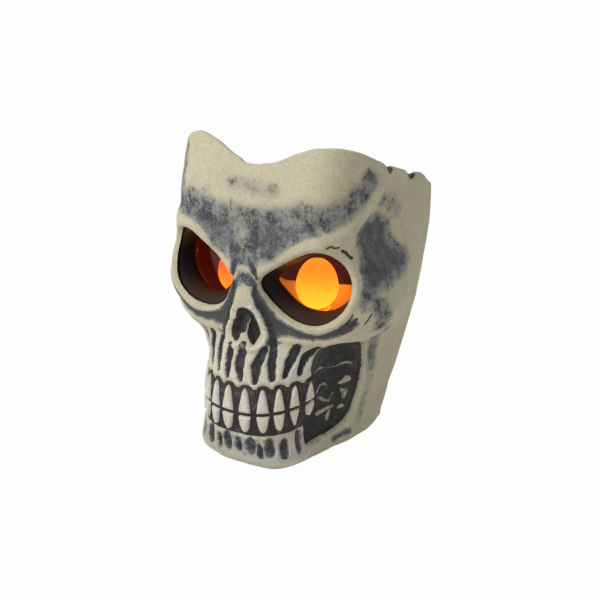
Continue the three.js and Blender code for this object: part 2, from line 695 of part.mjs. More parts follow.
// Shares of the half outline that carry the columns: on each tooth, closer over the cheeks, and
// wide apart along the sides.
function skinShares() {
  const teeth = TEETH.flatMap(({ middle, half }) => TOOTH_COLUMNS.map((c) => middle + c * half));
  const sideFrom = (start) => {
    const cheek = Math.ceil((CHEEK_COLUMNS_END - start) / CHEEK_COLUMN_STEP);
    const step = (CHEEK_COLUMNS_END - start) / cheek;
    const near = Array.from({ length: cheek }, (_, k) => start + (k + 1) * step);
    const sideStep = (WALL_S - CHEEK_COLUMNS_END) / SIDE_COLUMNS;
    const far = Array.from({ length: SIDE_COLUMNS }, (_, k) => WALL_S - (SIDE_COLUMNS - 1 - k) * sideStep);
    return [...near, ...far];
  };
  const right = sideFrom(-teeth[0]).map((s) => -s).toReversed();
  return [...right, ...teeth, ...sideFrom(teeth.at(-1))].map((s) => s / WALL_S);
}

function cavityShares() {
  const half = [];
  for (let k = 1; k <= CAVITY_FRONT_COLUMNS; k += 1) half.push((k / CAVITY_FRONT_COLUMNS) * CAVITY_FRONT);
  for (let k = 1; k < CAVITY_SIDE_COLUMNS; k += 1) {
    half.push(CAVITY_FRONT + (k / CAVITY_SIDE_COLUMNS) * (1 - CAVITY_FRONT));
  }
  half.push(1);
  return [...half.toReversed().map((share) => -share), 0, ...half];
}

function rowHeights() {
  const rows = [...FOOT_ROWS];
  const addRows = (step, top) => {
    for (let z = rows.at(-1) + step; z < top; z += step) rows.push(z);
  };
  addRows(MOUTH_ROW_STEP, MOUTH_ROWS_TOP);
  addRows(NOSE_ROW_STEP, NOSE_ROWS_TOP);
  addRows(FACE_ROW_STEP, FACE_ROWS_TOP);
  return rows;
}

// The outer skin of the skull as a solid block, and the hollow inside it.
function skullBlock() {
  const shares = skinShares();
  const outside = (x, y, z, s) => (boneRelief(x, y, z) + noseRelief(s, z) + mouthRelief(s, z)
    + hollowRelief(s, z, 0) + ridgeRelief(s, z) + eyeRingRelief(x, y, z));
  const rings = rowHeights().map((z) => shares.map((share) => skinPoint(share, z, outside)));
  const last = rowHeights().at(-1);
  for (let k = 1; k <= RIM_ROWS; k += 1) {
    rings.push(shares.map((share) => {
      const z = last + (k / RIM_ROWS) * (rimHeight(share) - last);
      return skinPoint(share, z, outside);
    }));
  }
  return solid(loft(rings));
}

function hollow(inset) {
  const shares = cavityShares();
  const inside = (x, y, z, s) => {
    const ledge = LEDGE_ROOM * bump(Math.abs(z - LEDGE_Z), LEDGE_REACH);
    const bone = HOLLOW_EASE * Math.min(boneRelief(x, y, z), 0);
    return bone + hollowRelief(s, z, HOLLOW_ROOM) + noseRoom(s, z) - inset - ledge;
  };
  const top = Math.max(...RIM.map((r) => r.right)) + HOLLOW_OVERRUN;
  const count = Math.ceil((top - FLOOR) / CAVITY_ROW_STEP);
  const rings = [];
  for (let k = 0; k <= count; k += 1) {
    const z = FLOOR + (inset - SHELL_WALL) + (k / count) * (top - FLOOR);
    const ring = shares.map((share) => skinPoint(share, z, inside));
    const [first, final] = [ring[0], ring.at(-1)];
    rings.push([[first[0], HOLLOW_OVERRUN, z], ...ring, [final[0], HOLLOW_OVERRUN, z]]);
  }
  return solid(loft(rings));
}

// Eye frame: across, back from the eye plane, and up.
const EYE_FRAME = new THREE.Matrix4().makeRotationZ(EYE_TURN).setPosition(EYE_X, EYE_Y, EYE_Z);

function smoothOutline(points, grow = 0) {
  const curve = new THREE.CatmullRomCurve3(points.map(([q, h]) => new THREE.Vector3(q, h, 0)), true);
  return Array.from({ length: OUTLINE_STEPS }, (_, k) => {
    const p = curve.getPoint(k / OUTLINE_STEPS);
    const along = curve.getTangent(k / OUTLINE_STEPS);
    return [p.x - along.y * grow, p.y + along.x * grow];
  });
}

const eyeRim = smoothOutline(EYE_OUTLINE);
const eyeRing = (outline, back) => outline.map(([q, h]) => [q, back, h]);

// A tube through eye rings: pairs of an outline and how far back it lies.
const eyeLoft = (...stops) => loft(stops.map(([outline, back]) => eyeRing(outline, back)));

const lensFront = CUP_DEPTH + TOUCH;
const ringFront = lensFront + LENS_THICK + TOUCH;
const ringRear = ringFront + RING_THICK;
const lensScrewPlaces = [
  [LENS_OUTLINE[0][0] - CUP_FLANGE / 2, LENS_OUTLINE[0][1]],
  [LENS_OUTLINE[4][0] + CUP_FLANGE / 2, LENS_OUTLINE[4][1]],
];
const lensScrewHoles = lensScrewPlaces.map(([q, h]) => rod(
  LENS_SCREW_RADIUS + TOUCH, [q, 0, h], [q, ringRear + TOUCH, h], SCREW_SIDES));

function eyeCup(room) {
  const mouth = smoothOutline(EYE_OUTLINE, CUP_MOUTH);
  const outer = smoothOutline(EYE_OUTLINE, CUP_MOUTH + CUP_WALL);
  const throat = smoothOutline(LENS_OUTLINE);
  const flange = smoothOutline(LENS_OUTLINE, CUP_FLANGE);
  const neck = smoothOutline(LENS_OUTLINE, CUP_WALL);
  const funnel = eyeLoft([outer, -CUP_REACH], [outer, 0], [neck, CUP_DEPTH]);
  const plate = eyeLoft([flange, CUP_DEPTH - CUP_FLANGE_THICK], [flange, CUP_DEPTH]);
  const bore = eyeLoft(
    [mouth, -CUP_REACH - CUT_PAST], [mouth, 0], [throat, CUP_DEPTH], [throat, CUP_DEPTH + CUT_PAST]);
  const body = without(joined(funnel, plate), bore, ...lensScrewHoles);
  return solid(geometryOf(body).applyMatrix4(EYE_FRAME)).intersect(room);
}

function eyeLens() {
  const edge = smoothOutline(LENS_OUTLINE, CUP_FLANGE - LENS_LIP);
  return without(solid(eyeLoft([edge, lensFront], [edge, lensFront + LENS_THICK])), ...lensScrewHoles);
}

function lensRing() {
  const edge = smoothOutline(LENS_OUTLINE, CUP_FLANGE);
  const open = smoothOutline(LENS_OUTLINE, LENS_LIP);
  const opening = eyeLoft([open, ringFront - CUT_PAST], [open, ringRear + CUT_PAST]);
  return without(solid(eyeLoft([edge, ringFront], [edge, ringRear])), opening, ...lensScrewHoles);
}

function lensScrew([q, h]) {
  const length = ringRear + TOUCH - (CUP_DEPTH - CUP_FLANGE_THICK);
  const seat = [q, ringRear + TOUCH, h];
  return screw(seat, [0, -1, 0], length, LENS_SCREW);
}

// Screws driven from the wall side, sunk in the face of the panel or door that they hold.
const sunkSeat = -SCREW_SINK - SCREW_HEAD;
const sunkHole = (x, z, length) => [
  rod(SCREW_HEAD_RADIUS + TOUCH, [x, sunkSeat - TOUCH, z], [x, CUT_PAST, z]),
  screwHole([x, sunkSeat - length - CUT_PAST, z], [x, 0, z]),
];
const sunkScrew = (x, z, length = SCREW_LENGTH) => screw([x, sunkSeat, z], [0, -1, 0], length);

const panelFront = -PANEL_THICK;
const seatFace = panelFront - TOUCH;
const panelScrewPlaces = [-1, 1].flatMap((side) => PANEL_SCREW_HEIGHTS.map(
  (z) => [side * (wallAt(z) - SHELL_WALL - PANEL_SCREW_INSET), z]));

// Lamp bar lines in plan, parallel to the eye planes.
function barLine(back, x) {
  const across = (x - EYE_X + back * Math.sin(EYE_TURN)) / Math.cos(EYE_TURN);
  return EYE_Y + back * Math.cos(EYE_TURN) + across * Math.sin(EYE_TURN);
}

const earFront = barLine(BAR_DEPTH, BAR_EAR_X);
const bothSides = (points) => flatShape([...points, ...points.toReversed().map(([x, y]) => [-x, y])]);

function skullShell(inside) {
  const bossFront = seatFace - BOSS_LENGTH;
  const bosses = panelScrewPlaces.map(([x, z]) => rod(BOSS_RADIUS, [x, bossFront, z], [x, seatFace, z]));
  const webs = panelScrewPlaces.map(([x, z]) => {
    const wallMiddle = x + Math.sign(x) * (PANEL_SCREW_INSET + SHELL_WALL / 2);
    const [low, high] = [Math.min(x, wallMiddle), Math.max(x, wallMiddle)];
    return block([low, bossFront, z - BOSS_WEB / 2], [high, seatFace, z + BOSS_WEB / 2]);
  });
  const postEnd = earFront - TOUCH;
  const posts = [-POST_X, POST_X].map(
    (x) => rod(POST_RADIUS, [x, postEnd - POST_REACH, POST_Z], [x, postEnd, POST_Z]));
  const space = without(inside, ...bosses, ...webs, ...posts);
  const eyeHole = eyeLoft([eyeRim, -CUP_REACH], [eyeRim, CUP_DEPTH]).applyMatrix4(EYE_FRAME);
  const bossHoles = panelScrewPlaces.map(
    ([x, z]) => screwHole([x, sunkSeat - SCREW_LENGTH - CUT_PAST, z], [x, 0, z]));
  const postHoles = [-POST_X, POST_X].map(
    (x) => screwHole([x, earFront - SCREW_LENGTH, POST_Z], [x, earFront, POST_Z]));
  return without(skullBlock().subtract(space), eyeHole, mirrored(eyeHole), ...bossHoles, ...postHoles);
}

// Lamp pieces, from the shelf up.
const holderFoot = SHELF_Z + SHELF_THICK + TOUCH;
const shoulder = HOLDER_HEIGHT - SOCKET_DEPTH;
const wellMiddle = holderFoot + shoulder - SOCKET_WELL / 2;
const boardFoot = holderFoot + shoulder + TOUCH;
const neckFoot = boardFoot + BOARD_THICK + TOUCH;
const bulbFoot = holderFoot + HOLDER_HEIGHT + TOUCH;
const holderScrewLength = SHELF_THICK + HOLDER_GRIP;

function lampBar() {
  const earRear = earFront + BAR_THICK;
  const wing = [
    [0, barLine(BAR_DEPTH, 0)], [BAR_EAR_X, earFront], [BAR_END_X, earFront],
    [BAR_END_X, earRear], [BAR_EAR_X, earRear], [0, barLine(BAR_DEPTH + BAR_THICK, 0)],
  ];
  const shelf = [
    [0, barLine(SHELF_FRONT, 0)], [SHELF_HALF_WIDTH, barLine(SHELF_FRONT, SHELF_HALF_WIDTH)],
    [SHELF_HALF_WIDTH, barLine(BAR_DEPTH, SHELF_HALF_WIDTH) + BAR_THICK / 2],
    [0, barLine(BAR_DEPTH, 0) + BAR_THICK / 2],
  ];
  const holes = [-1, 1].flatMap((side) => {
    const [post, lamp] = [side * POST_X, side * LAMP_X];
    return [
      screwHole([post, earFront - CUT_PAST, POST_Z], [post, earRear + CUT_PAST, POST_Z]),
      screwHole([lamp, LAMP_Y, SHELF_Z - CUT_PAST], [lamp, LAMP_Y, holderFoot]),
      rod(LEAD_HOLE, [lamp, LAMP_Y, wellMiddle], [lamp, earFront, wellMiddle], LEAD_SIDES),
    ];
  });
  const end = BAR_END_X + CUT_PAST;
  const underEars = [[-end, -SHELF_HALF_WIDTH], [SHELF_HALF_WIDTH, end]].map(
    ([low, high]) => block([low, EYE_Y, SHELF_Z - CUT_PAST], [high, 0, BAR_EAR_FOOT]));
  const plate = slab(bothSides(wing), SHELF_Z, BAR_TOP);
  const table = slab(bothSides(shelf), SHELF_Z, SHELF_Z + SHELF_THICK);
  return without(joined(plate, table), ...underEars, ...holes);
}

function lampHolder() {
  const bore = BOARD_RADIUS + TOUCH;
  const well = BOARD_RADIUS - BOARD_LEDGE;
  const wellFloor = shoulder - SOCKET_WELL;
  const pilot = SCREW_RADIUS + TOUCH;
  const pilotTop = HOLDER_GRIP + CUT_PAST;
  const profile = [
    [0, pilotTop], [pilot, pilotTop], [pilot, 0], [HOLDER_RADIUS, 0], [HOLDER_RADIUS, HOLDER_HEIGHT],
    [bore, HOLDER_HEIGHT], [bore, shoulder], [well, shoulder], [well, wellFloor], [0, wellFloor],
  ];
  const outside = LAMP_Y + HOLDER_RADIUS + CUT_PAST;
  const exit = rod(LEAD_HOLE, [LAMP_X, LAMP_Y, wellMiddle], [LAMP_X, outside, wellMiddle], LEAD_SIDES);
  return without(solid(turned(profile, [LAMP_X, LAMP_Y, holderFoot], LAMP_SIDES)), exit);
}

function ledBoard() {
  const top = boardFoot + BOARD_THICK;
  return rod(BOARD_RADIUS, [LAMP_X, LAMP_Y, boardFoot], [LAMP_X, LAMP_Y, top], LAMP_SIDES);
}

function lightDiode() {
  const domeFoot = DIODE_HEIGHT - DIODE_RADIUS;
  const slope = DIODE_RADIUS * Math.SQRT1_2;
  const profile = [
    [0, 0], [DIODE_RIM_RADIUS, 0], [DIODE_RIM_RADIUS, DIODE_RIM], [DIODE_RADIUS, DIODE_RIM],
    [DIODE_RADIUS, domeFoot], [slope, domeFoot + slope], [0, DIODE_HEIGHT],
  ];
  return turned(profile, [LAMP_X, LAMP_Y, boardFoot + BOARD_THICK + TOUCH], ROD_SIDES);
}

// Egg profile from the neck to the top, drawn in by a wall for the inside.
function eggProfile(wall) {
  const radius = BULB_RADIUS - wall;
  const neck = BOARD_RADIUS - TOUCH - wall;
  return Array.from({ length: BULB_STEPS + 1 }, (_, k) => {
    const t = k / BULB_STEPS;
    const low = Math.max(0, (BULB_WIDEST - t) / BULB_WIDEST);
    const high = Math.max(0, (t - BULB_WIDEST) / (1 - BULB_WIDEST));
    const share = 1 - low ** 2 * (1 - (neck / radius) ** 2) - high ** 2;
    return [radius * Math.sqrt(Math.max(0, share)), bulbFoot + t * (BULB_HEIGHT - wall)];
  });
}

function lampBulb() {
  const outer = eggProfile(0);
  const inner = eggProfile(BULB_WALL);
  const profile = [...inner.toReversed(), [inner[0][0], neckFoot], [outer[0][0], neckFoot], ...outer];
  return turned(profile, [LAMP_X, LAMP_Y, 0], LAMP_SIDES);
}

// Battery box, drawn from the cells that it holds.
const boxInnerHalf = (CELL_PITCH * (CELLS - 1)) / 2 + CELL_RADIUS + BOX_SIDE_SPACE;
const boxOuterHalf = boxInnerHalf + BOX_WALL;
const boxInnerFoot = BOX_Z + BOX_WALL;
const CELL_TOUCHES = 5;
const cellSpace = SPRING_LENGTH + CELL_LENGTH + CELL_NUB + 2 * PLATE_THICK + CELL_TOUCHES * TOUCH;
const boxInnerTop = boxInnerFoot + cellSpace;
const boxOuterTop = boxInnerTop + BOX_WALL;
const boxMiddle = (BOX_Z + boxOuterTop) / 2;
const boxFloor = seatFace - 2 * (CELL_RADIUS + TOUCH);
const cellY = boxFloor + TOUCH + CELL_RADIUS;
const earThick = SCREW_LENGTH;
const boxScrewPlaces = [[0, BOX_Z - EAR_LENGTH / 2], [0, boxOuterTop + EAR_LENGTH / 2]];
const doorScrewX = -(boxOuterHalf + DOOR_SCREW_MARGIN);

function batteryBox() {
  const tray = block([-boxOuterHalf, boxFloor - BOX_WALL, BOX_Z], [boxOuterHalf, seatFace, boxOuterTop]);
  const earFace = seatFace - earThick;
  const ears = block(
    [-EAR_HALF_WIDTH, earFace, BOX_Z - EAR_LENGTH], [EAR_HALF_WIDTH, seatFace, boxOuterTop + EAR_LENGTH]);
  const doorEar = block(
    [-boxOuterHalf - EAR_LENGTH, earFace, boxMiddle - EAR_HALF_WIDTH],
    [0, seatFace, boxMiddle + EAR_HALF_WIDTH]);
  const room = block([-boxInnerHalf, boxFloor, boxInnerFoot], [boxInnerHalf, 0, boxInnerTop]);
  const through = earFace - CUT_PAST;
  const holes = boxScrewPlaces.map(([x, z]) => screwHole([x, through, z], [x, 0, z]));
  const doorHole = screwHole([doorScrewX, through, boxMiddle], [doorScrewX, 0, boxMiddle], DOOR_SCREW_PLAY);
  return without(joined(tray, ears, doorEar), room, ...holes, doorHole);
}

// Cells stand side by side, every other one upside down.
const cellX = Array.from({ length: CELLS }, (_, k) => (k - (CELLS - 1) / 2) * CELL_PITCH);
const springDown = (k) => k % 2 === 0;
const lowPlate = boxInnerFoot + TOUCH;
const highPlate = boxInnerTop - TOUCH - PLATE_THICK;
const springFoot = (k) => (
  springDown(k) ? lowPlate + PLATE_THICK + TOUCH : highPlate - TOUCH - SPRING_LENGTH);

function cell(k) {
  const profile = [
    [0, 0], [CELL_RADIUS, 0], [CELL_RADIUS, CELL_LENGTH], [CELL_NUB_RADIUS, CELL_LENGTH],
    [CELL_NUB_RADIUS, CELL_LENGTH + CELL_NUB], [0, CELL_LENGTH + CELL_NUB],
  ];
  const shape = turned(profile, [0, 0, 0], CELL_SIDES);
  if (!springDown(k)) shape.rotateX(Math.PI);
  const foot = springDown(k) ? springFoot(k) + SPRING_LENGTH + TOUCH : springFoot(k) - TOUCH;
  return shape.translate(cellX[k], cellY, foot);
}

// A spring is one tube along a helix. The gap from turn to turn is measured on its points.
function contactSpring(k) {
  const steps = SPRING_CURLS * SPRING_STEPS;
  const rise = SPRING_LENGTH - 2 * SPRING_WIRE;
  const centre = Array.from({ length: steps + 1 }, (_, i) => {
    const turn = (i / SPRING_STEPS) * 2 * Math.PI;
    const [x, y] = [SPRING_RADIUS * Math.cos(turn), SPRING_RADIUS * Math.sin(turn)];
    return new THREE.Vector3(x, y, (i / steps) * rise);
  });
  const rings = centre.map((p) => {
    const out = new THREE.Vector3(p.x, p.y, 0).normalize();
    return Array.from({ length: SPRING_SIDES }, (_, s) => {
      const a = (s / SPRING_SIDES) * 2 * Math.PI;
      const wide = SPRING_WIRE * Math.cos(a);
      return [p.x + out.x * wide, p.y + out.y * wide, p.z + SPRING_WIRE * Math.sin(a)];
    });
  });
  const others = (i) => centre.slice(i + SPRING_STEPS / 2);
  const gaps = centre.flatMap((p, i) => others(i).map((q) => p.distanceTo(q) - 2 * SPRING_WIRE));
  if (k === 0) console.log(`contact spring, least gap to itself ${Math.min(...gaps).toFixed(2)} mm`);
  return loft(rings).translate(cellX[k], cellY, springFoot(k) + SPRING_WIRE);
}

// Plates join the cells in a row: each end has one single plate and one plate over two cells.
function contactPlate(first, last, foot) {
  const half = PLATE_WIDTH / 2;
  const top = foot + PLATE_THICK;
  return block([cellX[first] - half, cellY - half, foot], [cellX[last] + half, cellY + half, top]);
}

// Door in the panel, on a pin along Z beside the box.
const hingeX = boxOuterHalf + HINGE_RADIUS + 2 * TOUCH;
const hingeY = -TOUCH - HINGE_RADIUS;
const doorFreeX = doorScrewX - DOOR_EDGE;
const doorFoot = boxInnerFoot - DOOR_REST;
const doorTop = boxInnerTop + DOOR_REST;
const barrelFoot = doorFoot + HINGE_LUG + TOUCH;
const barrelTop = doorTop - HINGE_LUG - TOUCH;
const hingeEdge = hingeX + HINGE_SWING_ROOM;
const pinHole = rod(
  HINGE_PIN_RADIUS + TOUCH, [hingeX, hingeY, doorFoot - CUT_PAST], [hingeX, hingeY, doorTop + CUT_PAST],
  SCREW_SIDES);

function batteryDoor() {
  const plate = block([doorFreeX, panelFront, doorFoot], [hingeX, -TOUCH, doorTop]);
  const barrel = rod(HINGE_RADIUS, [hingeX, hingeY, barrelFoot], [hingeX, hingeY, barrelTop]);
  const clear = hingeX - HINGE_RADIUS - 2 * TOUCH;
  const lugRooms = [[doorFoot - CUT_PAST, barrelFoot], [barrelTop, doorTop + CUT_PAST]].map(
    ([low, high]) => block([clear, panelFront - CUT_PAST, low], [hingeX + CUT_PAST, CUT_PAST, high]));
  const boxRoom = block(
    [boxOuterHalf + TOUCH, panelFront - HINGE_RADIUS, doorFoot], [clear, panelFront, doorTop]);
  const screwRoom = sunkHole(doorScrewX, boxMiddle, SCREW_LENGTH);
  return without(joined(plate, barrel), ...lugRooms, boxRoom, pinHole, ...screwRoom);
}

function hingePin() {
  return rod(HINGE_PIN_RADIUS, [hingeX, hingeY, doorFoot], [hingeX, hingeY, doorTop], SCREW_SIDES);
}

// Switch: a can behind the panel, and a knob whose foot slides in its channel.
const switchScrewX = SWITCH_LENGTH / 2 + SWITCH_EAR / 2;
const switchFront = seatFace - SWITCH_DEEP;
const switchFloor = seatFace - KNOB_FOOT_DEEP - TOUCH;
const knobHalfRoom = (length) => length / 2 + KNOB_TRAVEL / 2 + TOUCH;
const knobRoomHeight = KNOB_HEIGHT / 2 + TOUCH;

function switchBody() {
  const half = SWITCH_LENGTH / 2;
  const [low, high] = [SWITCH_Z - SWITCH_HEIGHT / 2, SWITCH_Z + SWITCH_HEIGHT / 2];
  const can = block([-half, switchFront, low], [half, seatFace, high]);
  const ears = block(
    [-half - SWITCH_EAR, seatFace - SWITCH_EAR_THICK, low], [half + SWITCH_EAR, seatFace, high]);
  const room = knobHalfRoom(KNOB_FOOT);
  const channel = block(
    [-room, switchFloor, SWITCH_Z - knobRoomHeight], [room, 0, SWITCH_Z + knobRoomHeight]);
  const holes = [-switchScrewX, switchScrewX].map(
    (x) => screwHole([x, switchFront, SWITCH_Z], [x, 0, SWITCH_Z]));
  return without(joined(can, ears), channel, ...holes);
}

function switchKnob() {
  const at = KNOB_TRAVEL / 2;
  const [low, high] = [SWITCH_Z - KNOB_HEIGHT / 2, SWITCH_Z + KNOB_HEIGHT / 2];
  const foot = block(
    [at - KNOB_FOOT / 2, seatFace - KNOB_FOOT_DEEP, low], [at + KNOB_FOOT / 2, seatFace, high]);
  const knob = block(
    [at - KNOB_LENGTH / 2, seatFace - KNOB_FOOT_DEEP, low], [at + KNOB_LENGTH / 2, -KNOB_RECESS, high]);
  return joined(foot, knob);
}

// Back panel with its keyhole, door opening, hinge lugs, switch slot and screw holes.
function backPanel(room) {
  const half = wallAt(PANEL_TOP);
  const plate = room.intersect(solid(block([-half, panelFront, 0], [half, 0, PANEL_TOP])));
  const lugs = [[doorFoot, doorFoot + HINGE_LUG], [doorTop - HINGE_LUG, doorTop]].flatMap(([foot, top]) => [
    rod(HINGE_RADIUS, [hingeX, hingeY, foot], [hingeX, hingeY, top]),
    block([hingeX, hingeY - HINGE_RADIUS, foot], [hingeEdge + HINGE_LUG, hingeY + HINGE_RADIUS / 2, top]),
  ]);
  const before = panelFront - CUT_PAST;
  const opening = block(
    [doorFreeX - PANEL_CLEARANCE, before, doorFoot - PANEL_CLEARANCE],
    [hingeEdge, CUT_PAST, doorTop + PANEL_CLEARANCE]);
  const slotHalf = KEYHOLE_SLOT_WIDTH / 2;
  const keyhole = [
    rod(KEYHOLE_HEAD_RADIUS, [0, before, KEYHOLE_Z], [0, CUT_PAST, KEYHOLE_Z]),
    block([-slotHalf, before, KEYHOLE_Z], [slotHalf, CUT_PAST, KEYHOLE_Z + KEYHOLE_SLOT_LENGTH]),
  ];
  const travel = knobHalfRoom(KNOB_LENGTH);
  const slot = block(
    [-travel, before, SWITCH_Z - knobRoomHeight], [travel, CUT_PAST, SWITCH_Z + knobRoomHeight]);
  const switchScrews = [[-switchScrewX, SWITCH_Z], [switchScrewX, SWITCH_Z]];
  const screws = [...panelScrewPlaces, ...boxScrewPlaces, ...switchScrews];
  const holes = screws.flatMap(([x, z]) => sunkHole(x, z, PANEL_THICK));
  const body = without(plate, opening, ...keyhole, slot, ...holes);
  return without(lugs.map(solid).reduce((a, b) => a.add(b), body), pinHole);
}

// A lead as a tube of plain section along its route.
function lead(route) {
  const path = new THREE.CatmullRomCurve3(route.map((p) => new THREE.Vector3(...p)));
  const section = new THREE.Shape();
  for (let s = 0; s < LEAD_SIDES; s += 1) {
    const a = (s / LEAD_SIDES) * 2 * Math.PI;
    section[s ? 'lineTo' : 'moveTo'](LEAD_RADIUS * Math.cos(a), LEAD_RADIUS * Math.sin(a));
  }
  section.closePath();
  return new THREE.ExtrudeGeometry(section, { steps: LEAD_STEPS, extrudePath: path, bevelEnabled: false });
}

const lampLeadRoute = [
  [LAMP_X, LAMP_Y + LEAD_START, wellMiddle], [LAMP_X, LAMP_Y + HOLDER_RADIUS, wellMiddle],
  [LAMP_X, earFront, wellMiddle], ...LEAD_SWEEP, [LEAD_LANDING, switchFront - LEAD_RISE, SWITCH_Z],
  [LEAD_LANDING, switchFront - TOUCH, SWITCH_Z],
];
const switchFoot = SWITCH_Z - SWITCH_HEIGHT / 2;
const switchMiddle = seatFace - SWITCH_DEEP / 2;
const batteryLeadRoute = [
  [BATTERY_LEAD_X, cellY, boxOuterTop + TOUCH], [BATTERY_LEAD_X, cellY, boxOuterTop + LEAD_RISE],
  [LEAD_LANDING, switchMiddle - LEAD_BELLY, switchFoot - LEAD_RISE],
  [LEAD_LANDING, switchMiddle, switchFoot - TOUCH],
];

// The assembly.
const skull = new THREE.Group();
skull.position.set(0, ORIGIN_TO_WALL, 0);

function add(name, shape, material) {
  const mesh = new THREE.Mesh(shape.isBufferGeometry ? shape : geometryOf(shape), material);
  mesh.name = name;
  skull.add(mesh);
}

// A piece of the left side and its mirror image on the right.
function addPair(name, shape, material) {
  const left = geometryOf(shape.isBufferGeometry ? solid(shape) : shape);
  add(`${name}_left`, left, material);
  add(`${name}_right`, mirrored(left), material);
}

add('skull_shell', skullShell(hollow(SHELL_WALL)), BONE);
addPair('eye_cup', eyeCup(hollow(SHELL_WALL + CUP_CLEARANCE)), SOCKET_BLACK);
const placed = (body) => geometryOf(body).applyMatrix4(EYE_FRAME);
addPair('eye_lens', placed(eyeLens()), AMBER);
addPair('lens_ring', placed(lensRing()), BLACK_PLASTIC);
lensScrewPlaces.forEach((place, k) => {
  addPair(`lens_screw_${k + 1}`, lensScrew(place).applyMatrix4(EYE_FRAME), STEEL);
});

add('lamp_bar', lampBar(), WHITE_PLASTIC);
const barScrewSeat = [POST_X, earFront + BAR_THICK + TOUCH, POST_Z];
addPair('bar_screw', screw(barScrewSeat, [0, -1, 0], SCREW_LENGTH), STEEL);
addPair('lamp_holder', lampHolder(), WHITE_PLASTIC);
addPair('holder_screw', screw([LAMP_X, LAMP_Y, SHELF_Z - TOUCH], [0, 0, 1], holderScrewLength), STEEL);
addPair('led_board', ledBoard(), BOARD_GREEN);
addPair('led', lightDiode(), DIODE_CLEAR);
addPair('lamp_bulb', lampBulb(), LAMP_GLOW);
addPair('lamp_lead', lead(lampLeadRoute), LEAD_RED);

add('back_panel', backPanel(hollow(SHELL_WALL + PANEL_CLEARANCE)), BLACK_PLASTIC);
panelScrewPlaces.forEach(([x, z], k) => add(`panel_screw_${k + 1}`, sunkScrew(x, z), STEEL));

add('battery_box', batteryBox(), BLACK_PLASTIC);
boxScrewPlaces.forEach(([x, z], k) => add(`box_screw_${k + 1}`, sunkScrew(x, z), STEEL));
cellX.forEach((_, k) => {
  add(`cell_${k + 1}`, cell(k), CELL_JACKET);
  add(`contact_spring_${k + 1}`, contactSpring(k), STEEL);
});
const plates = [[0, 0, lowPlate], [1, 2, lowPlate], [0, 1, highPlate], [2, 2, highPlate]];
plates.forEach((plate, k) => add(`contact_plate_${k + 1}`, contactPlate(...plate), STEEL));
add('battery_door', batteryDoor(), BLACK_PLASTIC);
add('door_screw', sunkScrew(doorScrewX, boxMiddle), STEEL);
add('hinge_pin', hingePin(), STEEL);
add('battery_lead', lead(batteryLeadRoute), LEAD_RED);

add('switch_body', switchBody(), BLACK_PLASTIC);
add('switch_knob', switchKnob(), WHITE_PLASTIC);
addPair('switch_screw', sunkScrew(switchScrewX, SWITCH_Z, SWITCH_SCREW_LENGTH), STEEL);

export default skull;
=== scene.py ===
# %% [markdown]
# A lit skull decoration that hangs on a wall or stands on a shelf. The shell is one hollow
# moulding with an open top and an open back, painted bone and then sponged and brushed with
# charcoal. Two lamps glow behind amber lenses in the eye sockets, and a black panel with a
# battery door and a slide switch closes the back.
#
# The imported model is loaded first. It fixes every place and size, so the pieces made here are
# drawn in the same frame and never fitted by eye.

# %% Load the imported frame
import math

import bpy
import numpy as np
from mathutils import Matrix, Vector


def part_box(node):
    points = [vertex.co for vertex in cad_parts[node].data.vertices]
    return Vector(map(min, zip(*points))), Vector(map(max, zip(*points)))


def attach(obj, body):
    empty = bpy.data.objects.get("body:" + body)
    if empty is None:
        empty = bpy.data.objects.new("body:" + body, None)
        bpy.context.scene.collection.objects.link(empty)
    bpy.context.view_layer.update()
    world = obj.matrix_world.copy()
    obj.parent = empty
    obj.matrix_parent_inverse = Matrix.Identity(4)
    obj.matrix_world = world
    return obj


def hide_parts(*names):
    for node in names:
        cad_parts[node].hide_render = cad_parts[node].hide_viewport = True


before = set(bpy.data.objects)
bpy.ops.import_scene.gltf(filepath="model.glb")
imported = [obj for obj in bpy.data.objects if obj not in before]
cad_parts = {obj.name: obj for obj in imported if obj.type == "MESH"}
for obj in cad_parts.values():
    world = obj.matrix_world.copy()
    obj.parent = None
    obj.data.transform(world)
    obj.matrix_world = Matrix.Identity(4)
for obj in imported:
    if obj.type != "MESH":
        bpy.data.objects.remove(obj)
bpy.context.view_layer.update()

# %% [markdown]
# The moulding is easiest to describe from the wall: y is zero on the wall and runs forward to
# negative values, and lengths are in millimetres. One helper turns such points into metres in
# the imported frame, and one makes a mesh object of them that rides on its body.

# %% Places and mesh objects
MM = 0.001
WALL_Y = 72.0
SIDES = ((1, "left"), (-1, "right"))


def in_frame(points):
    """Wall points in millimetres, as frame points in metres."""
    return (np.asarray(points, float) + [0, WALL_Y, 0]) * MM


def in_scene(name, data):
    """A new object with this data, linked to the scene."""
    thing = bpy.data.objects.new(name, data)
    bpy.context.scene.collection.objects.link(thing)
    return thing


def smooth_mesh(name, points, faces, materials):
    mesh = bpy.data.meshes.new(name)
    mesh.from_pydata(points, [], [[int(i) for i in face] for face in faces])
    mesh.polygons.foreach_set("use_smooth", [True] * len(mesh.polygons))
    for material in materials:
        mesh.materials.append(material)
    mesh.update()
    return mesh


def moulding(name, points, faces, materials, body="skull"):
    """A mesh object from wall points and faces, riding on a body."""
    piece = in_scene(name, smooth_mesh(name, in_frame(points).tolist(), faces, materials))
    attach(piece, body)
    return piece


# %% [markdown]
# Every finish is a small node tree. One function turns a hex colour, as read from a screen,
# into the linear numbers that Blender shades with, and one adds a node, sets it and links it.
# The others are short names for the nodes that come back in every finish.

# %% Colour and node helpers
def hex_colour(code):
    """An sRGB hex colour as linear red, green, blue and alpha."""
    parts = [int(code[i:i + 2], 16) / 255 for i in (1, 3, 5)]
    return [p / 12.92 if p <= 0.04045 else ((p + 0.055) / 1.055) ** 2.4 for p in parts] + [1.0]


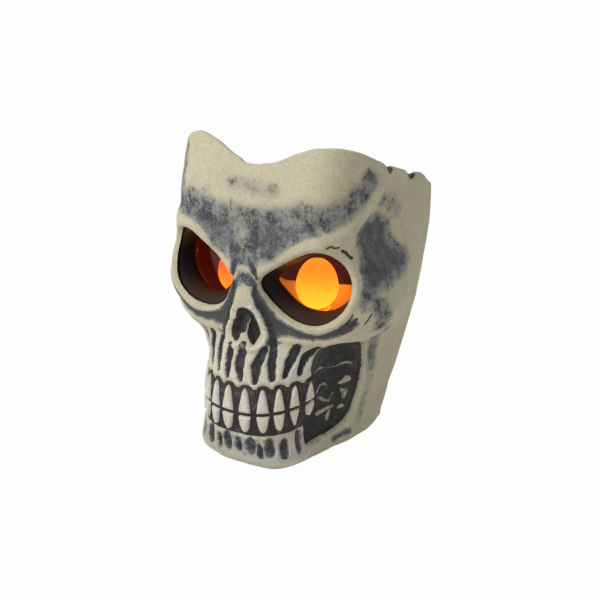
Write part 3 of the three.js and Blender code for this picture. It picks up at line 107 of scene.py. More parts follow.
def add(tree, kind, inputs=None, **settings):
    """Adds a node. An input is a value, or the output socket of another node."""
    node = tree.nodes.new("ShaderNode" + kind)
    for name, value in settings.items():
        setattr(node, name, value)
    for name, value in (inputs or {}).items():
        if isinstance(value, bpy.types.NodeSocket):
            tree.links.new(value, node.inputs[name])
        else:
            node.inputs[name].default_value = value
    return node


def finish(name):
    """A new material and its empty node tree."""
    material = bpy.data.materials.new(name)
    material.use_nodes = True
    material.node_tree.nodes.clear()
    return material, material.node_tree


def place(tree):
    """The object's own coordinates, in metres."""
    return add(tree, "TexCoord").outputs["Object"]


def along(tree, axis):
    return add(tree, "SeparateXYZ", {0: place(tree)}).outputs[axis]


def stored(tree, name):
    """A number stored on the points of the mesh."""
    return add(tree, "Attribute", attribute_name=name).outputs["Fac"]


def noise(tree, size, detail=2, roughness=0.5, distortion=0.0):
    """Noise from 0 to 1, with blotches about this many millimetres across."""
    return add(tree, "TexNoise", {
        "Vector": place(tree), "Scale": 1 / (size * MM), "Detail": detail, "Roughness": roughness,
        "Distortion": distortion}).outputs["Fac"]


def calc(tree, operation, *values):
    return add(tree, "Math", dict(enumerate(values)), operation=operation).outputs[0]


def centred(tree, value, swing):
    """A value from 0 to 1, moved to lie on both sides of zero."""
    return calc(tree, "MULTIPLY_ADD", value, swing, -swing / 2)


def ramp(tree, value, low, high, start=0.0, end=1.0, kind="SMOOTHSTEP"):
    """Start below the low limit, end above the high one, and a soft change between them."""
    return add(tree, "MapRange", {
        "Value": value, "From Min": low, "From Max": high, "To Min": start, "To Max": end},
        interpolation_type=kind).outputs["Result"]


def between(tree, value, start, end):
    """A value from 0 to 1, spread evenly from start to end."""
    return ramp(tree, value, 0.0, 1.0, start, end, "LINEAR")


def mix(tree, share, first, second):
    """A blend of two colours, each a hex code or the output of another node."""
    first, second = (hex_colour(c) if isinstance(c, str) else c for c in (first, second))
    return add(tree, "Mix", {0: share, 6: first, 7: second}, data_type="RGBA").outputs[2]


def dents(tree, height, strength, depth):
    """The normal of a fine texture that is this many millimetres deep."""
    bumped = add(tree, "Bump", {"Height": height, "Strength": strength, "Distance": depth * MM})
    return bumped.outputs["Normal"]


def shade(tree, inputs):
    """Ends a finish with a principled surface."""
    surface = add(tree, "BsdfPrincipled", inputs)
    add(tree, "OutputMaterial", {"Surface": surface.outputs[0]})


# %% [markdown]
# The shell is moulded vinyl, sprayed bone and then worked over by hand. Charcoal is sponged on
# the hollows of the bone, which leaves a mottled wash, and black is brushed into the deep
# places: the mouth, the nose and the hollow cheek. Where the paint lies is stored on the mesh
# as two numbers, one for the wash and one for the ink, and the material breaks their edges up
# with noise, as a sponge and a dry brush do. The wash number also holds painted shade: a grey
# stroke along the far edge of the top, where that side turns away from the light. A third
# number, high, marks the teeth and ridges brushed with off-white.

# %% Vinyl, sprayed bone and sponged with charcoal
bone, tree = finish("vinyl_sprayed_bone_sponged_charcoal_painted_shade")
wash_and_shade, ink, high = (stored(tree, name) for name in ("wash_and_shade", "ink", "high"))
stain, blotch, sponge = noise(tree, 38, 3, 0.55), noise(tree, 9, 4, 0.6), noise(tree, 3.4, 3, 0.7)
# The real paint grain is about 0.3 mm. It is drawn at 1.3 mm, so that it shows in the picture.
grain = noise(tree, 1.3, 2, 0.6)

# Bone paint is warmer in patches, off-white on the brushed ridges, and finely specked.
warm = mix(tree, stain, "#D3CCB1", "#BEB699")
brushed = mix(tree, high, warm, "#E3E0D6")
bone_paint = mix(tree, ramp(tree, grain, 0.40, 0.66, 0.34, 0.0), brushed, "#8E876D")

# The sponge leaves a thin haze and prints of uneven depth. A second dab gives a dense coat.
mottle = calc(tree, "ADD", centred(tree, blotch, 2.0), centred(tree, sponge, 1.3))
mottle = calc(tree, "ADD", mottle, centred(tree, grain, 1.3))
hazed = mix(tree, ramp(tree, wash_and_shade, 0.0, 0.9, 0.0, 0.55), bone_paint, "#6B6C6E")
dabbed = mix(tree, ramp(tree, mottle, -0.5, 0.5, 1.0, 0.0), "#2E3035", "#83868B")
dense = mix(tree, sponge, "#222326", "#46474B")
charcoal = mix(tree, ramp(tree, wash_and_shade, 1.15, 1.5), dabbed, dense)
wash_edge = calc(tree, "ADD", wash_and_shade, mottle)
washed = mix(tree, ramp(tree, wash_edge, 0.2, 1.25, 0.0, 0.95), hazed, charcoal)

# The black is brushed on nearly dry, so it has broken edges and grey streaks.
streak = noise(tree, 7, 5, 0.72)
black = mix(tree, ramp(tree, streak, 0.46, 0.74, 0.0, 0.7), "#121113", "#55545A")
ink_edge = calc(tree, "ADD", ink, centred(tree, sponge, 0.5))
painted = mix(tree, ramp(tree, ink_edge, 0.32, 0.68, 0.0, 0.97), washed, black)
shade(tree, {
    "Base Color": painted, "Roughness": between(tree, grain, 0.52, 0.78),
    "Normal": dents(tree, grain, 0.22, 0.8), "IOR": 1.5, "Specular IOR Level": 0.3})
print("finish:", bone.name, len(tree.nodes), "nodes")

# %% [markdown]
# Inside, the vinyl is sprayed a thin matt black, so that the lamps do not shine through the
# wall. The coat is uneven: it runs from black to a dark brown where the vinyl shows through.

# %% Vinyl, sprayed black inside
dark_vinyl, tree = finish("vinyl_sprayed_black_inside")
flow = noise(tree, 22, 4, distortion=0.6)
shade(tree, {
    "Base Color": mix(tree, flow, "#1B1917", "#332E28"), "Roughness": between(tree, flow, 0.5, 0.7),
    "Normal": dents(tree, noise(tree, 1.8), 0.15, 0.6), "IOR": 1.5, "Specular IOR Level": 0.35})
print("finish:", dark_vinyl.name, len(tree.nodes), "nodes")

# %% [markdown]
# The sockets are black-brown ABS with a dull mould grain. Light on their floors is painted in as a
# lighter brown, and the glow of the lamps on the upper wall beside the nose as orange-brown.

# %% Socket plastic
socket, tree = finish("abs_moulded_black_brown_painted_lamp_glow")
dust = noise(tree, 6, 4)
height = along(tree, "Z")
# Painted light: the socket floor is mixed to a lighter brown where light falls on it, and the upper wall by
# the nose to orange-brown where the lamps glow on it.
painted_light_on_floor = ramp(tree, height, 0.121, 0.136, 0.9, 0.0)
base_tone_with_painted_floor_light = mix(tree, painted_light_on_floor, mix(tree, dust, "#0B0706", "#150E0C"), "#3A281F")
painted_glow_near_nose = ramp(tree, calc(tree, "ABSOLUTE", along(tree, "X")), 0.034, 0.048, 0.9, 0.12)
painted_lamp_glow_high = ramp(tree, height, 0.152, 0.166, 0.0, painted_glow_near_nose)
shade(tree, {
    "Base Color": mix(tree, painted_lamp_glow_high, base_tone_with_painted_floor_light, "#9A5A24"),
    "Roughness": between(tree, dust, 0.62, 0.8), "IOR": 1.53, "Specular IOR Level": 0.15})
print("finish:", socket.name, len(tree.nodes), "nodes")

# %% [markdown]
# Relief and paint are both drawn with soft steps, round swells, and distances to lines and
# closed outlines.

# %% Distances and soft edges
def soft(value, low, high):
    """A soft step, from 0 at low to 1 at high."""
    t = np.clip((value - low) / (high - low), 0, 1)
    return t * t * (3 - 2 * t)


def bump(distance, reach):
    """A round swell, 1 at its middle and 0 from its reach on."""
    return np.where(distance < reach, (1 - (distance / reach) ** 2) ** 2, 0)


def rounded(gap, radius):
    """How far a round edge has fallen away at this distance from the edge."""
    inside = np.clip(radius - gap, 0, radius)
    return radius - np.sqrt(radius ** 2 - inside ** 2)


def line_distance(points, path):
    """The distance of each point from a line through the path's corners, in 2-D or 3-D."""
    best = np.full(points.shape[:-1], np.inf)
    path = np.asarray(path, float)
    for a, b in zip(path[:-1], path[1:]):
        way = b - a
        t = np.clip(((points - a) @ way) / (way @ way), 0, 1)
        best = np.minimum(best, np.linalg.norm(points - a - t[..., None] * way, axis=-1))
    return best


def area_distance(corners, points):
    """The distance to a closed outline, negative inside it."""
    corners = np.asarray(corners, float)
    distance = line_distance(points, np.vstack([corners, corners[:1]]))
    inside = np.zeros(points.shape[:-1], bool)
    for (ax, ay), (bx, by) in zip(corners, np.roll(corners, -1, axis=0)):
        if ay == by:
            continue
        crosses = (ay > points[..., 1]) != (by > points[..., 1])
        inside ^= crosses & (points[..., 0] < ax + (points[..., 1] - ay) * (bx - ax) / (by - ay))
    return np.where(inside, -distance, distance)


# %% [markdown]
# The form of the skull is a stack of outlines. Each level has a depth, a nose ridge, a half
# width at the cheek and at the wall, and a squareness, and smooth curves run between the
# levels. A point is named by its share of the way round, from -1 at the right wall edge to 1
# at the left, and by its height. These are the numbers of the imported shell, so the dressed
# shell lies on it, but for its upper sides, which are up to 3 mm wider.

# %% The outlines of the form
LEVELS = np.array([
    [0, 143, 0, 39.5, 47, 5.0], [14, 151, 0, 54, 44.5, 4.2], [30, 154, 0, 56, 46.5, 3.2],
    [45, 156, 0, 58, 51.5, 2.75], [64, 153, 0, 59, 57, 2.75], [80, 145, 3, 62, 61.5, 2.8],
    [97, 134, 9, 77, 66, 3.3], [110, 130, 12, 99, 69.5, 4.0], [128, 129, 14, 106, 73, 4.8],
    [145, 129, 12, 101, 76.3, 5.2], [160, 131, 9, 93, 79.2, 5.4], [180, 137, 5, 83, 81.3, 5.6],
    [204, 136, 3, 80.5, 82, 5.6], [226, 130, 2, 82, 81.6, 5.4], [250, 122, 1, 83, 80.3, 5.0]])
RIDGE_WIDTH = 20
CHEEK_REACH = 0.75


def steady(x, v):
    """A smooth curve through values, with no overshoot between them."""
    x, v = np.asarray(x, float), np.asarray(v, float)
    rise = np.diff(v) / np.diff(x)
    before, after = np.r_[rise[0], rise], np.r_[rise, rise[-1]]
    turning = before * after <= 0
    slope = np.where(turning, 0, 2 * before * after / np.where(turning, 1, before + after))

    def at(p):
        p = np.clip(p, x[0], x[-1])
        i = np.clip(np.searchsorted(x, p, side="right") - 1, 0, len(x) - 2)
        w = x[i + 1] - x[i]
        t = (p - x[i]) / w
        return (v[i] * (1 + 2 * t) * (1 - t) ** 2 + v[i + 1] * t * t * (3 - 2 * t)
                + w * t * (1 - t) * (slope[i] * (1 - t) - slope[i + 1] * t))
    return at


depth_at, ridge_at, cheek_at, wall_at, square_at = (
    steady(LEVELS[:, 0], LEVELS[:, k]) for k in range(1, 6))


def outline(turn, z):
    """The outline of a level, by a turn of -90 to 90 degrees from the middle of the face."""
    power = 2 / square_at(z)
    forward = np.abs(np.cos(turn)) ** power
    half = wall_at(z) + (cheek_at(z) - wall_at(z)) * np.minimum(1, forward / CHEEK_REACH)
    x = half * np.sign(turn) * np.abs(np.sin(turn)) ** power
    return x, -depth_at(z) * forward - ridge_at(z) * np.exp(-(x / RIDGE_WIDTH) ** 2)


TURNS = np.linspace(0, math.pi / 2, 361)


def run_table(z):
    """The length along half of a level's outline, at each of the turns."""
    x, y = outline(TURNS, np.full_like(TURNS, z))
    return np.r_[0, np.cumsum(np.hypot(np.diff(x), np.diff(y)))]


TABLE_STEP, TABLE_LEVELS = 2.0, 128
TABLE_RUNS = [run_table(k * TABLE_STEP) for k in range(TABLE_LEVELS)]


def turn_at(share, z):
    """The turn at a share of the half outline, for arrays of the same shape."""
    low = np.clip((z / TABLE_STEP).astype(int), 0, TABLE_LEVELS - 2)
    part = z / TABLE_STEP - low
    result = np.zeros(share.shape)
    for level in np.unique(low):
        here = low == level
        way = np.abs(share[here])
        first, second = (np.interp(way * run[-1], run, TURNS) for run in TABLE_RUNS[level:level + 2])
        result[here] = np.sign(share[here]) * (first + (second - first) * part[here])
    return result


print("outlines:", len(LEVELS), "levels up to", LEVELS[-1, 0], "mm")


# %% [markdown]
# The top edge of the moulding rises over the temples, dips at the middle and falls to the
# wall. Broad forms, such as the brow, the cheekbone and the hollow cheek, are swells along
# lines, laid on the outlines.

# %% Top edge and broad forms
# The run from the middle of the face, and the height of the edge on the left and on the right.
RIM = np.array([
    [0, 231.7, 231.7], [18, 234, 237.3], [36, 241.5, 245.3], [54, 246.4, 249.4], [66, 246.8, 247.2],
    [80, 244.6, 240.5], [112, 233, 227], [150, 221, 213], [187, 212.3, 200]], float)
RIM_RUN = run_table(235)[-1]
rim_left, rim_right = steady(RIM[:, 0], RIM[:, 1]), steady(RIM[:, 0], RIM[:, 2])


def rim_height(share):
    run = np.abs(share) * RIM_RUN
    return np.where(share < 0, rim_right(run), rim_left(run))


# Each form has its line, its reach and its height, which is negative for a hollow.
BROAD_FORMS = [
    ([[12, -138, 160], [30, -135, 172], [50, -136, 181], [64, -132, 183], [76, -122, 182],
      [82, -104, 194], [81, -88, 211], [80, -74, 228]], 12, 2.6),
    ([[36, -128, 105], [54, -119, 106], [67, -104, 106], [76, -84, 109], [78, -60, 114],
      [76, -30, 121]], 12, 3),
    ([[60, -98, 88], [54, -95, 64], [50, -100, 42], [46, -110, 26]], 28, -11),
    ([[84, -88, 180], [86, -70, 172]], 27, -4),
    ([[46, -134, 208], [30, -134, 214]], 34, 2.2),
    ([[47, -6, 0], [47, -2, 0]], 24, -2.5),
    ([[47, -0.5, 0], [47, 0, 0]], 18, -3.2),
    ([[44, -42, 0], [43, -62, 2]], 24, 2.8)]
INSIDE_HOLLOWS = 1.35
NORMAL_STEP = 0.01


def form(share, z, inset=0.0):
    """Points of the skin, or of the inside at an inset, on a grid of shares and heights."""
    turn = turn_at(share, z)
    x, y = outline(turn, z)
    ax, ay = outline(np.maximum(-math.pi / 2, turn - NORMAL_STEP), z)
    bx, by = outline(np.minimum(math.pi / 2, turn + NORMAL_STEP), z)
    length = np.hypot(bx - ax, by - ay)
    spot = np.stack([np.abs(x), y, z], axis=-1)
    swell = sum(height * bump(line_distance(spot, path), reach) for path, reach, height in BROAD_FORMS)
    if np.any(inset):
        swell = INSIDE_HOLLOWS * np.minimum(swell, 0) - inset
    return np.stack([
        x + (by - ay) / length * swell, np.minimum(0, y - (bx - ax) / length * swell), z], axis=-1)


print("top edge:", len(RIM), "heights, broad forms:", len(BROAD_FORMS))


# %% [markdown]
# The grid is fine where the sculpting is fine: about a millimetre over the teeth and the face,
# and two on the plain sides. The rows bend over the top edge in a half circle and come down
# again inside, so that the shell is one skin with a real wall.

# %% The grid of the shell
DRAWN_HALF = 200
half_columns = np.r_[
    np.arange(0, 96, 1.0), np.arange(96, 172, 1.5), np.arange(172, 189, 2.0),
    190, 192, 194, 196, 197.4, 198.4, 199.2, DRAWN_HALF]
columns = np.r_[-half_columns[:0:-1], half_columns]
rows = np.r_[
    0, 0.25, 0.7, 1.4, 2.4, 3.6, np.arange(5, 12, 1.4), np.arange(12, 132, 0.8), np.arange(132, 186, 1.3)]
RIM_ROWS = 36
RIM_ROUND = 2.2
share = columns / DRAWN_HALF
top = rim_height(share)

# Small chips are broken out of the top edge. Each has its middle, its reach and its depth.
CHIPS = [(124, 9, 2.8), (163, 10, 2.6), (-148, 9, 2.4), (-92, 8, 1.4)]
for middle, reach, deep in CHIPS:
    top = top - deep * bump(np.abs(columns - middle), reach)

# The back corners of the top edge are rounded off, nearly to a full quarter circle.
CORNER_ROUND, CORNER_FULL = 9.0, 0.98
from_corner = np.clip(CORNER_ROUND - (1 - np.abs(share)) * RIM_RUN, 0, CORNER_ROUND)
top = top - CORNER_ROUND + np.sqrt(CORNER_ROUND ** 2 - CORNER_FULL * from_corner ** 2)

rise = np.linspace(0, 1, RIM_ROWS + 1)[1:, None]
upper = rows[-1] + rise * (top - RIM_ROUND - rows[-1])
grid_z = np.vstack([np.repeat(rows[:, None], len(columns), axis=1), upper])
grid_share = np.repeat(share[None, :], len(grid_z), axis=0)
skin = form(grid_share, grid_z)
print("outer grid:", grid_z.shape)

# %% [markdown]
# The face is sculpted in flat drawing coordinates: s runs round the head in millimetres of
# share, positive on the skull's left, and z is the height. Distances to drawn lines and areas
# give both the relief and the paint, so the black always lies in the groove that it was
# brushed into. Most lines are drawn once, for both sides.

# %% Drawing helpers
S, Z = grid_share * DRAWN_HALF, grid_z
flat = np.stack([S, Z], axis=-1)
mirrored = np.stack([np.abs(S), Z], axis=-1)


def stroke(path, half_width, edge, on=mirrored):
    """One on a brush stroke along a path, falling to zero over its edge."""
    return 1 - soft(line_distance(on, path), half_width - edge, half_width + edge)


def area(corners, edge, on=mirrored):
    """One in an outline, falling to zero over its edge."""
    return 1 - soft(area_distance(corners, on), -edge, edge)


def leaf(path):
    """How far each point lies inside a tapered stroke, from rows of s, z and half width."""
    best = np.full(S.shape, -np.inf)
    path = np.asarray(path, float)
    for a, b in zip(path[:-1], path[1:]):
        way = b[:2] - a[:2]
        t = np.clip(((flat - a[:2]) @ way) / (way @ way), 0, 1)
        aside = np.linalg.norm(flat - a[:2] - t[..., None] * way, axis=-1)
        best = np.maximum(best, a[2] + t * (b[2] - a[2]) - aside)
    return best


def highest(layers):
    return np.maximum.reduce(list(layers))


LATTICE = 64
lattice = np.random.default_rng(31).random((LATTICE, LATTICE))


def ripple(size, shift=0):
    """Smooth unevenness over the drawing, from 0 to 1, with this blotch size."""
    u, v = (S + 2 * DRAWN_HALF) / size + shift, Z / size + shift
    i, j = np.floor(u).astype(int), np.floor(v).astype(int)
    a, b = soft(u - i, 0, 1), soft(v - j, 0, 1)
    i, j, k, m = i % LATTICE, j % LATTICE, (i + 1) % LATTICE, (j + 1) % LATTICE
    return ((lattice[i, j] * (1 - a) + lattice[k, j] * a) * (1 - b)
            + (lattice[i, m] * (1 - a) + lattice[k, m] * a) * b)


# %% [markdown]
# The teeth are tapered pegs, wide at the bite and narrow at the gum, with black gaps between.
# Each one is found by its middle along s. The gum arches over each peg, and dark slots run up
# between the roots.

# %% Teeth, gums and chin
TOOTH_MIDDLES = np.array([-68, -56, -43.5, -31, -18, -4.5, 11.5, 26.5, 39.5, 52.5, 67])
TOOTH_HALF_WIDTHS = np.array([4.6, 4.8, 4.8, 5.0, 5.2, 6.0, 6.0, 5.6, 5.2, 5.0, 5.2])
MOUTH_MIDDLE = 4.0
BITE_GAP = 0.7
LEAN = 1.8
from_mouth = np.abs(S - MOUTH_MIDDLE)


def mouth_line(height, bend):
    """The heights of a line across the mouth that bends up at its sides."""
    return height + bend * from_mouth ** 2


bite, gum, groove = mouth_line(48.3, 0.0017), mouth_line(67.5, 0.0012), mouth_line(31.4, 0.0015)
nearest = np.argmin(np.abs(S[..., None] - TOOTH_MIDDLES), axis=-1)
half_width = TOOTH_HALF_WIDTHS[nearest]
lean = LEAN * np.clip((Z - bite) / (gum - bite), 0, 1)
from_middle = np.abs(S - TOOTH_MIDDLES[nearest] + lean)
last_tooth = soft(S, 58, 59)
lower_foot = groove + 2.8 + 3.5 * last_tooth

up_tooth = (Z - bite - BITE_GAP) / (gum - bite - BITE_GAP)
down_tooth = (bite - BITE_GAP - Z) / (bite - BITE_GAP - lower_foot)
peg_up, peg_down = np.clip(up_tooth, 0, 1), np.clip(down_tooth, 0, 1)
upper_taper = 0.56 + 0.26 * last_tooth
lower_taper = 0.38 + 0.36 * soft(S, 45, 46) - 0.4 * last_tooth
upper_width = half_width * (1 - upper_taper * peg_up) * np.sqrt(1 - peg_up ** 9)
lower_width = half_width * (1 - lower_taper * peg_down) * np.sqrt(1 - peg_down ** 6)
width = np.where(Z > bite, upper_width, lower_width)
tooth_in = np.minimum(width - from_middle, np.abs(Z - bite) - BITE_GAP)
tooth_in = np.where((up_tooth > 1) | (down_tooth > 1), -1, tooth_in)
mouth_sides = soft(from_mouth, 76, 70)
tooth = soft(tooth_in, -0.3, 1.2) * mouth_sides * soft(S, 75, 74)
dome = np.sqrt(1 - (1 - np.clip(tooth_in / 2.6, 0, 1)) ** 2)

arch = gum + 2.9 * np.clip(1 - (from_middle / 6.6) ** 2, 0, 1)
in_mouth = soft(arch - Z, -0.4, 0.9) * soft(Z - groove, -1.0, 0.5) * mouth_sides

# A root slot is a tapered stroke. A chin slot has its middle, its height, and half its size.
ROOT_SLOTS = [
    [(-66, 94, 3.2), (-61, 79, 2.8)], [(-53, 97, 3.6), (-48, 78, 2.8)],
    [(-40, 98, 3.4), (-40, 87, 3.9), (-34, 77, 2.4)], [(-28, 97, 2.8), (-27, 90, 3.6), (-22, 76, 2.0)],
    [(-13, 95, 2.8), (-12, 88, 4.2), (-10, 74, 2.2)], [(1, 97, 3.6), (0, 85, 4.6), (4, 72.5, 2.0)],
    [(19, 95, 3.6), (15.5, 84, 4.6), (17.5, 73.5, 2.8)],
    [(25, 103, 3.0), (28.5, 86, 3.6), (31, 75.5, 2.4)],
    [(45.5, 101, 3.6), (43, 89, 4.4), (41, 77.5, 2.6)],
    [(61, 100.5, 2.0), (54.5, 92, 3.8), (53, 78.5, 2.4)]]
CHIN_SLOTS = [
    (-52, 24, 8, 4.2), (-40, 23, 7, 4.0), (-25, 25, 8, 3.6), (-15.5, 21, 6, 2.4), (-7.5, 23.5, 8, 4.6),
    (3.5, 22, 6.5, 3.4), (15, 23, 7.5, 5.0), (23, 20, 6, 2.4), (31, 22.5, 8, 4.6), (42, 22.5, 7, 4.2),
    (55, 26, 9, 3.6)]
slots = highest(soft(leaf(path) + 1.2 * (ripple(4, 5) - 0.5), -1.3, 1.4) for path in ROOT_SLOTS)


def chin_slot(middle, height, half, wide):
    """One in an upright oval slot with a wavy edge, falling to zero outside it."""
    spread = np.hypot((S - middle) / (wide + 0.6), (Z - height) / (half + 2))
    return 1 - soft(spread + 0.3 * (ripple(5, 3) - 0.5), 0.5, 1.08)


chin_slots = highest(chin_slot(*row) for row in CHIN_SLOTS)
gum_roll = soft(Z - arch, -0.6, 2.2) * (1 - soft(Z, 84, 104)) * soft(from_mouth, 82, 66)
chin_roll = soft(groove - Z, 0, 2.4) * soft(Z, 3, 12) * soft(from_mouth, 70, 56)
relief = (3.0 * dome * tooth + 2.0 * gum_roll - 2.6 * slots * gum_roll ** 0.5
          + 1.9 * chin_roll - 2.4 * chin_slots * chin_roll ** 0.5)
teeth_ink = highest([
    in_mouth * (1 - tooth), 0.6 * soft(slots, 0.3, 0.8), 0.52 * soft(chin_slots, 0.35, 0.9)])
print("teeth:", len(TOOTH_MIDDLES), "relief", relief.min().round(2), relief.max().round(2))

# %% [markdown]
# The nose is a dark opening like an upside-down heart, with a beaded bone edge and a light
# spur at its foot. The brow, the rim of the orbit and the cheekbone are drawn as light ridges
# between dark hollows.

# %% Nose, brow and cheek
NOSE = [
    (0, 127.5), (3, 125.5), (9, 121), (11, 116), (13, 111), (14, 107), (12, 101), (10, 97.5), (7, 99),
    (3, 104), (1, 106.5), (-1, 105.5), (-3, 102.5), (-6, 99), (-10, 98), (-15, 101), (-16, 105),
    (-13, 111), (-8, 117), (-4, 122)]
NOSE_BEADS = [
    [(-7, 125), (-11, 121), (-12, 115)],
    [(-16, 110.5), (-20, 105), (-20, 100), (-17, 96), (-11, 94.4), (-6, 95.4)],
    [(4, 127.4), (10, 124.4), (12, 121.4)], [(13, 118.5), (14.2, 115), (16, 111.8)],
    [(16.6, 108.5), (18, 105), (17.5, 100.5)], [(-4, 96.6), (3, 96.4), (9, 94.6), (14, 96.5), (17, 99)]]
SEPTUM = [(1, 103), (1, 112), (3, 117)]
nose = area_distance(NOSE, flat) + 0.5 * (ripple(3, 12) - 0.5)
nose_rim = highest(stroke(path, 1.7, 1.5, flat) for path in NOSE_BEADS)
nose_hole = 1 - soft(nose, -4.0, 0.4)
septum = stroke(SEPTUM, 1.0, 1.0, flat)
relief += 2.0 * nose_rim - 6.0 * nose_hole * (1 - 0.5 * septum)

BROW_END = [(92, 193.5), (101, 200), (108, 210), (116, 217)]
BROW = [
    (13, 153), (21, 157.5), (27, 161.5), (41, 172.5), (53, 178.5), (62, 181.5), (71, 184),
    (81, 187.5)] + BROW_END
RIGHT_BROW = [
    (13, 153), (20, 157.5), (26, 161.5), (31, 166), (34.5, 171), (38, 176), (44, 180.5), (50, 183),
    (58, 184), (66, 184), (76, 187)] + BROW_END
NASION = [[(0.5, 157), (3, 152), (8, 147), (13, 144.5)], [(-0.5, 157), (-2, 152), (-4, 147)]]
CHEEKBONE = [(29, 104), (39, 105), (47, 104), (55, 104), (66, 105), (78, 108.5), (90, 109), (104, 114)]
TEMPLE = [
    (90, 188), (96, 194), (117, 196), (133, 188), (138, 172), (153, 163), (155, 156), (146, 149),
    (112, 148), (96, 142), (87, 133), (84, 136), (89, 149), (88, 161), (93, 174)]
HOLLOW = [
    (62, 79), (60.5, 90), (63, 98), (68, 103), (76, 105.5), (91, 104.5), (108, 97), (119, 87), (126, 78),
    (130, 68), (131, 57), (129, 46), (124, 34), (116, 27.5), (105, 23), (94, 19.5), (82, 18), (67, 18),
    (62, 21), (61, 30), (62, 38), (72, 43), (75, 55), (72, 69), (64, 76)]
nasion = highest(stroke(path, 1.3, 1.2, flat) for path in NASION)
hollow = area_distance(HOLLOW, mirrored)
mouth_side = soft(np.abs(S), 74, 66) * soft(Z - groove, -1, 2) * soft(arch - Z, -1, 2)
brow = np.where(S < 0, stroke(RIGHT_BROW, 4.2, 3.0), stroke(BROW, 4.2, 3.0))
brow_light = np.where(S < 0, stroke(RIGHT_BROW, 3.8, 2.2), stroke(BROW, 4.0, 2.2))
relief += 1.3 * brow * soft(S, -72, -52) + 1.2 * nasion + 1.0 * stroke(CHEEKBONE, 2.8, 2.2)
relief += -2.6 * (1 - soft(hollow, -3.2, 0.6)) + 0.9 * bump(np.abs(hollow - 2.2), 3.0) * (1 - mouth_side)
relief += -1.1 * area(TEMPLE, 7)

# Behind the last teeth, worn molars show as broken patches of bone in the black.
MOLAR_PATCHES = [
    [(107, 55.5), (113, 60), (116, 62.5), (121, 58), (116, 55)],
    [(111.5, 51.5), (118.5, 50.5), (116.5, 42.5), (113.5, 42.5)], [(109.5, 36), (113, 40.5), (115, 37)]]
MOLAR_EDGES = [
    (0.72, [(89, 53.5), (91, 57.5), (96, 59), (101, 55)]),
    (0.72, [(92, 48.5), (97, 45.5), (102.5, 42.5), (105.5, 49)]),
    (0.9, [(90, 35), (99, 37), (105.5, 38.5), (102, 34.5), (99, 30)])]
MOLAR_GUM = [
    (60, 70.5), (67, 72), (77, 73), (86, 73.5), (99, 70.5), (105, 70.5), (109, 72.5), (113, 73.5), (118, 71)]
ragged = 1.8 * (ripple(4, 17) - 0.5)
patches = [1 - soft(area_distance(corners, mirrored) + ragged, -1.4, 2.0) for corners in MOLAR_PATCHES]
patches += [level * stroke(line, 1.9 + 0.6 * ragged, 1.9) for level, line in MOLAR_EDGES]
molars = highest(patches) * (0.66 + 0.6 * ripple(5, 41)).clip(0, 1)
molar_gum = stroke(MOLAR_GUM, 1.2 + 0.5 * ragged, 1.2) * (0.5 + 0.7 * ripple(9, 23)).clip(0, 1)
relief += 1.7 * molars + 1.3 * molar_gum

# Cracks with their half widths, and the slow unevenness of the casting.
CRACKS = [
    ([(66, 179), (69, 180), (72, 178.3), (74.5, 179)], 0.8),
    ([(77, 176), (80, 174), (82.5, 170.5), (84, 170)], 1.2),
    ([(79, 129), (75, 121)], 0.6), ([(82, 126), (79, 120)], 0.7), ([(92, 129), (88, 121)], 0.6)]
cracks = highest(stroke(path, wide, 0.8, flat) for path, wide in CRACKS)
relief -= 1.0 * cracks
relief += 0.9 * (ripple(26) - 0.5) * soft(Z, 150, 180) + 0.35 * (ripple(7, 9) - 0.5)
print("face:", len(NOSE_BEADS), "beads", len(CRACKS), "cracks")

# %% [markdown]
# The eye openings are cut square to a plane that turns out by 18 degrees, so the outline is
# drawn in that plane: q across, h up, and b back from it. The skin rolls over into the
# opening, and that roll is laid on once the faces are trimmed.

# %% The eye outline
EYE_X, EYE_Y, EYE_Z = 46.0, -128.0, 147.0
EYE_TURN = math.radians(18)
EYE_COS, EYE_SIN = math.cos(EYE_TURN), math.sin(EYE_TURN)
EYE_OUTLINES = {
    1: [(-34, 0), (-17, 14.2), (9, 27), (28, 19.4), (35.5, 3), (28.5, -17), (10, -29.8), (-12, -27.2),
        (-30, -10)],
    -1: [(-34, 0), (-25, 9.4), (-16.5, 17.8), (-8, 25.6), (1, 30.8), (12.5, 29.6), (26, 22), (35, 11.5),
         (37, -2), (33.2, -15.8), (20.5, -26), (4, -29.8), (-11, -28), (-24.5, -18.5), (-31, -9)]}
LENS_OUTLINE = [
    (-24, 0), (-8, 13.5), (12, 22.4), (27, 16), (34.5, 2), (28, -14), (14, -22.5), (-4, -20.5), (-18, -9)]
CURVE_POINTS = 144
FAR = 99.0


def closed_curve(corners):
    """A smooth closed curve through corners, with the square root of their spacing as its pace."""
    p = np.asarray(corners, float)
    result = []
    for k in range(CURVE_POINTS):
        where = k / CURVE_POINTS * len(p)
        i, t = int(where), where - int(where)
        p0, p1, p2, p3 = (p[(i + d) % len(p)] for d in (-1, 0, 1, 2))
        d0, d1, d2 = (math.sqrt(np.linalg.norm(b - a)) for a, b in ((p0, p1), (p1, p2), (p2, p3)))
        m1 = ((p1 - p0) / d0 - (p2 - p0) / (d0 + d1) + (p2 - p1) / d1) * d1
        m2 = ((p2 - p1) / d1 - (p3 - p1) / (d1 + d2) + (p3 - p2) / d2) * d1
        result.append((2 * t ** 3 - 3 * t * t + 1) * p1 + (t ** 3 - 2 * t * t + t) * m1
                      + (3 * t * t - 2 * t ** 3) * p2 + (t ** 3 - t * t) * m2)
    return np.array(result)


def grown(curve, amount):
    """The curve moved outwards. The outlines run clockwise."""
    way = np.roll(curve, -1, axis=0) - np.roll(curve, 1, axis=0)
    way /= np.linalg.norm(way, axis=1, keepdims=True)
    return curve + amount * np.stack([-way[:, 1], way[:, 0]], axis=1)


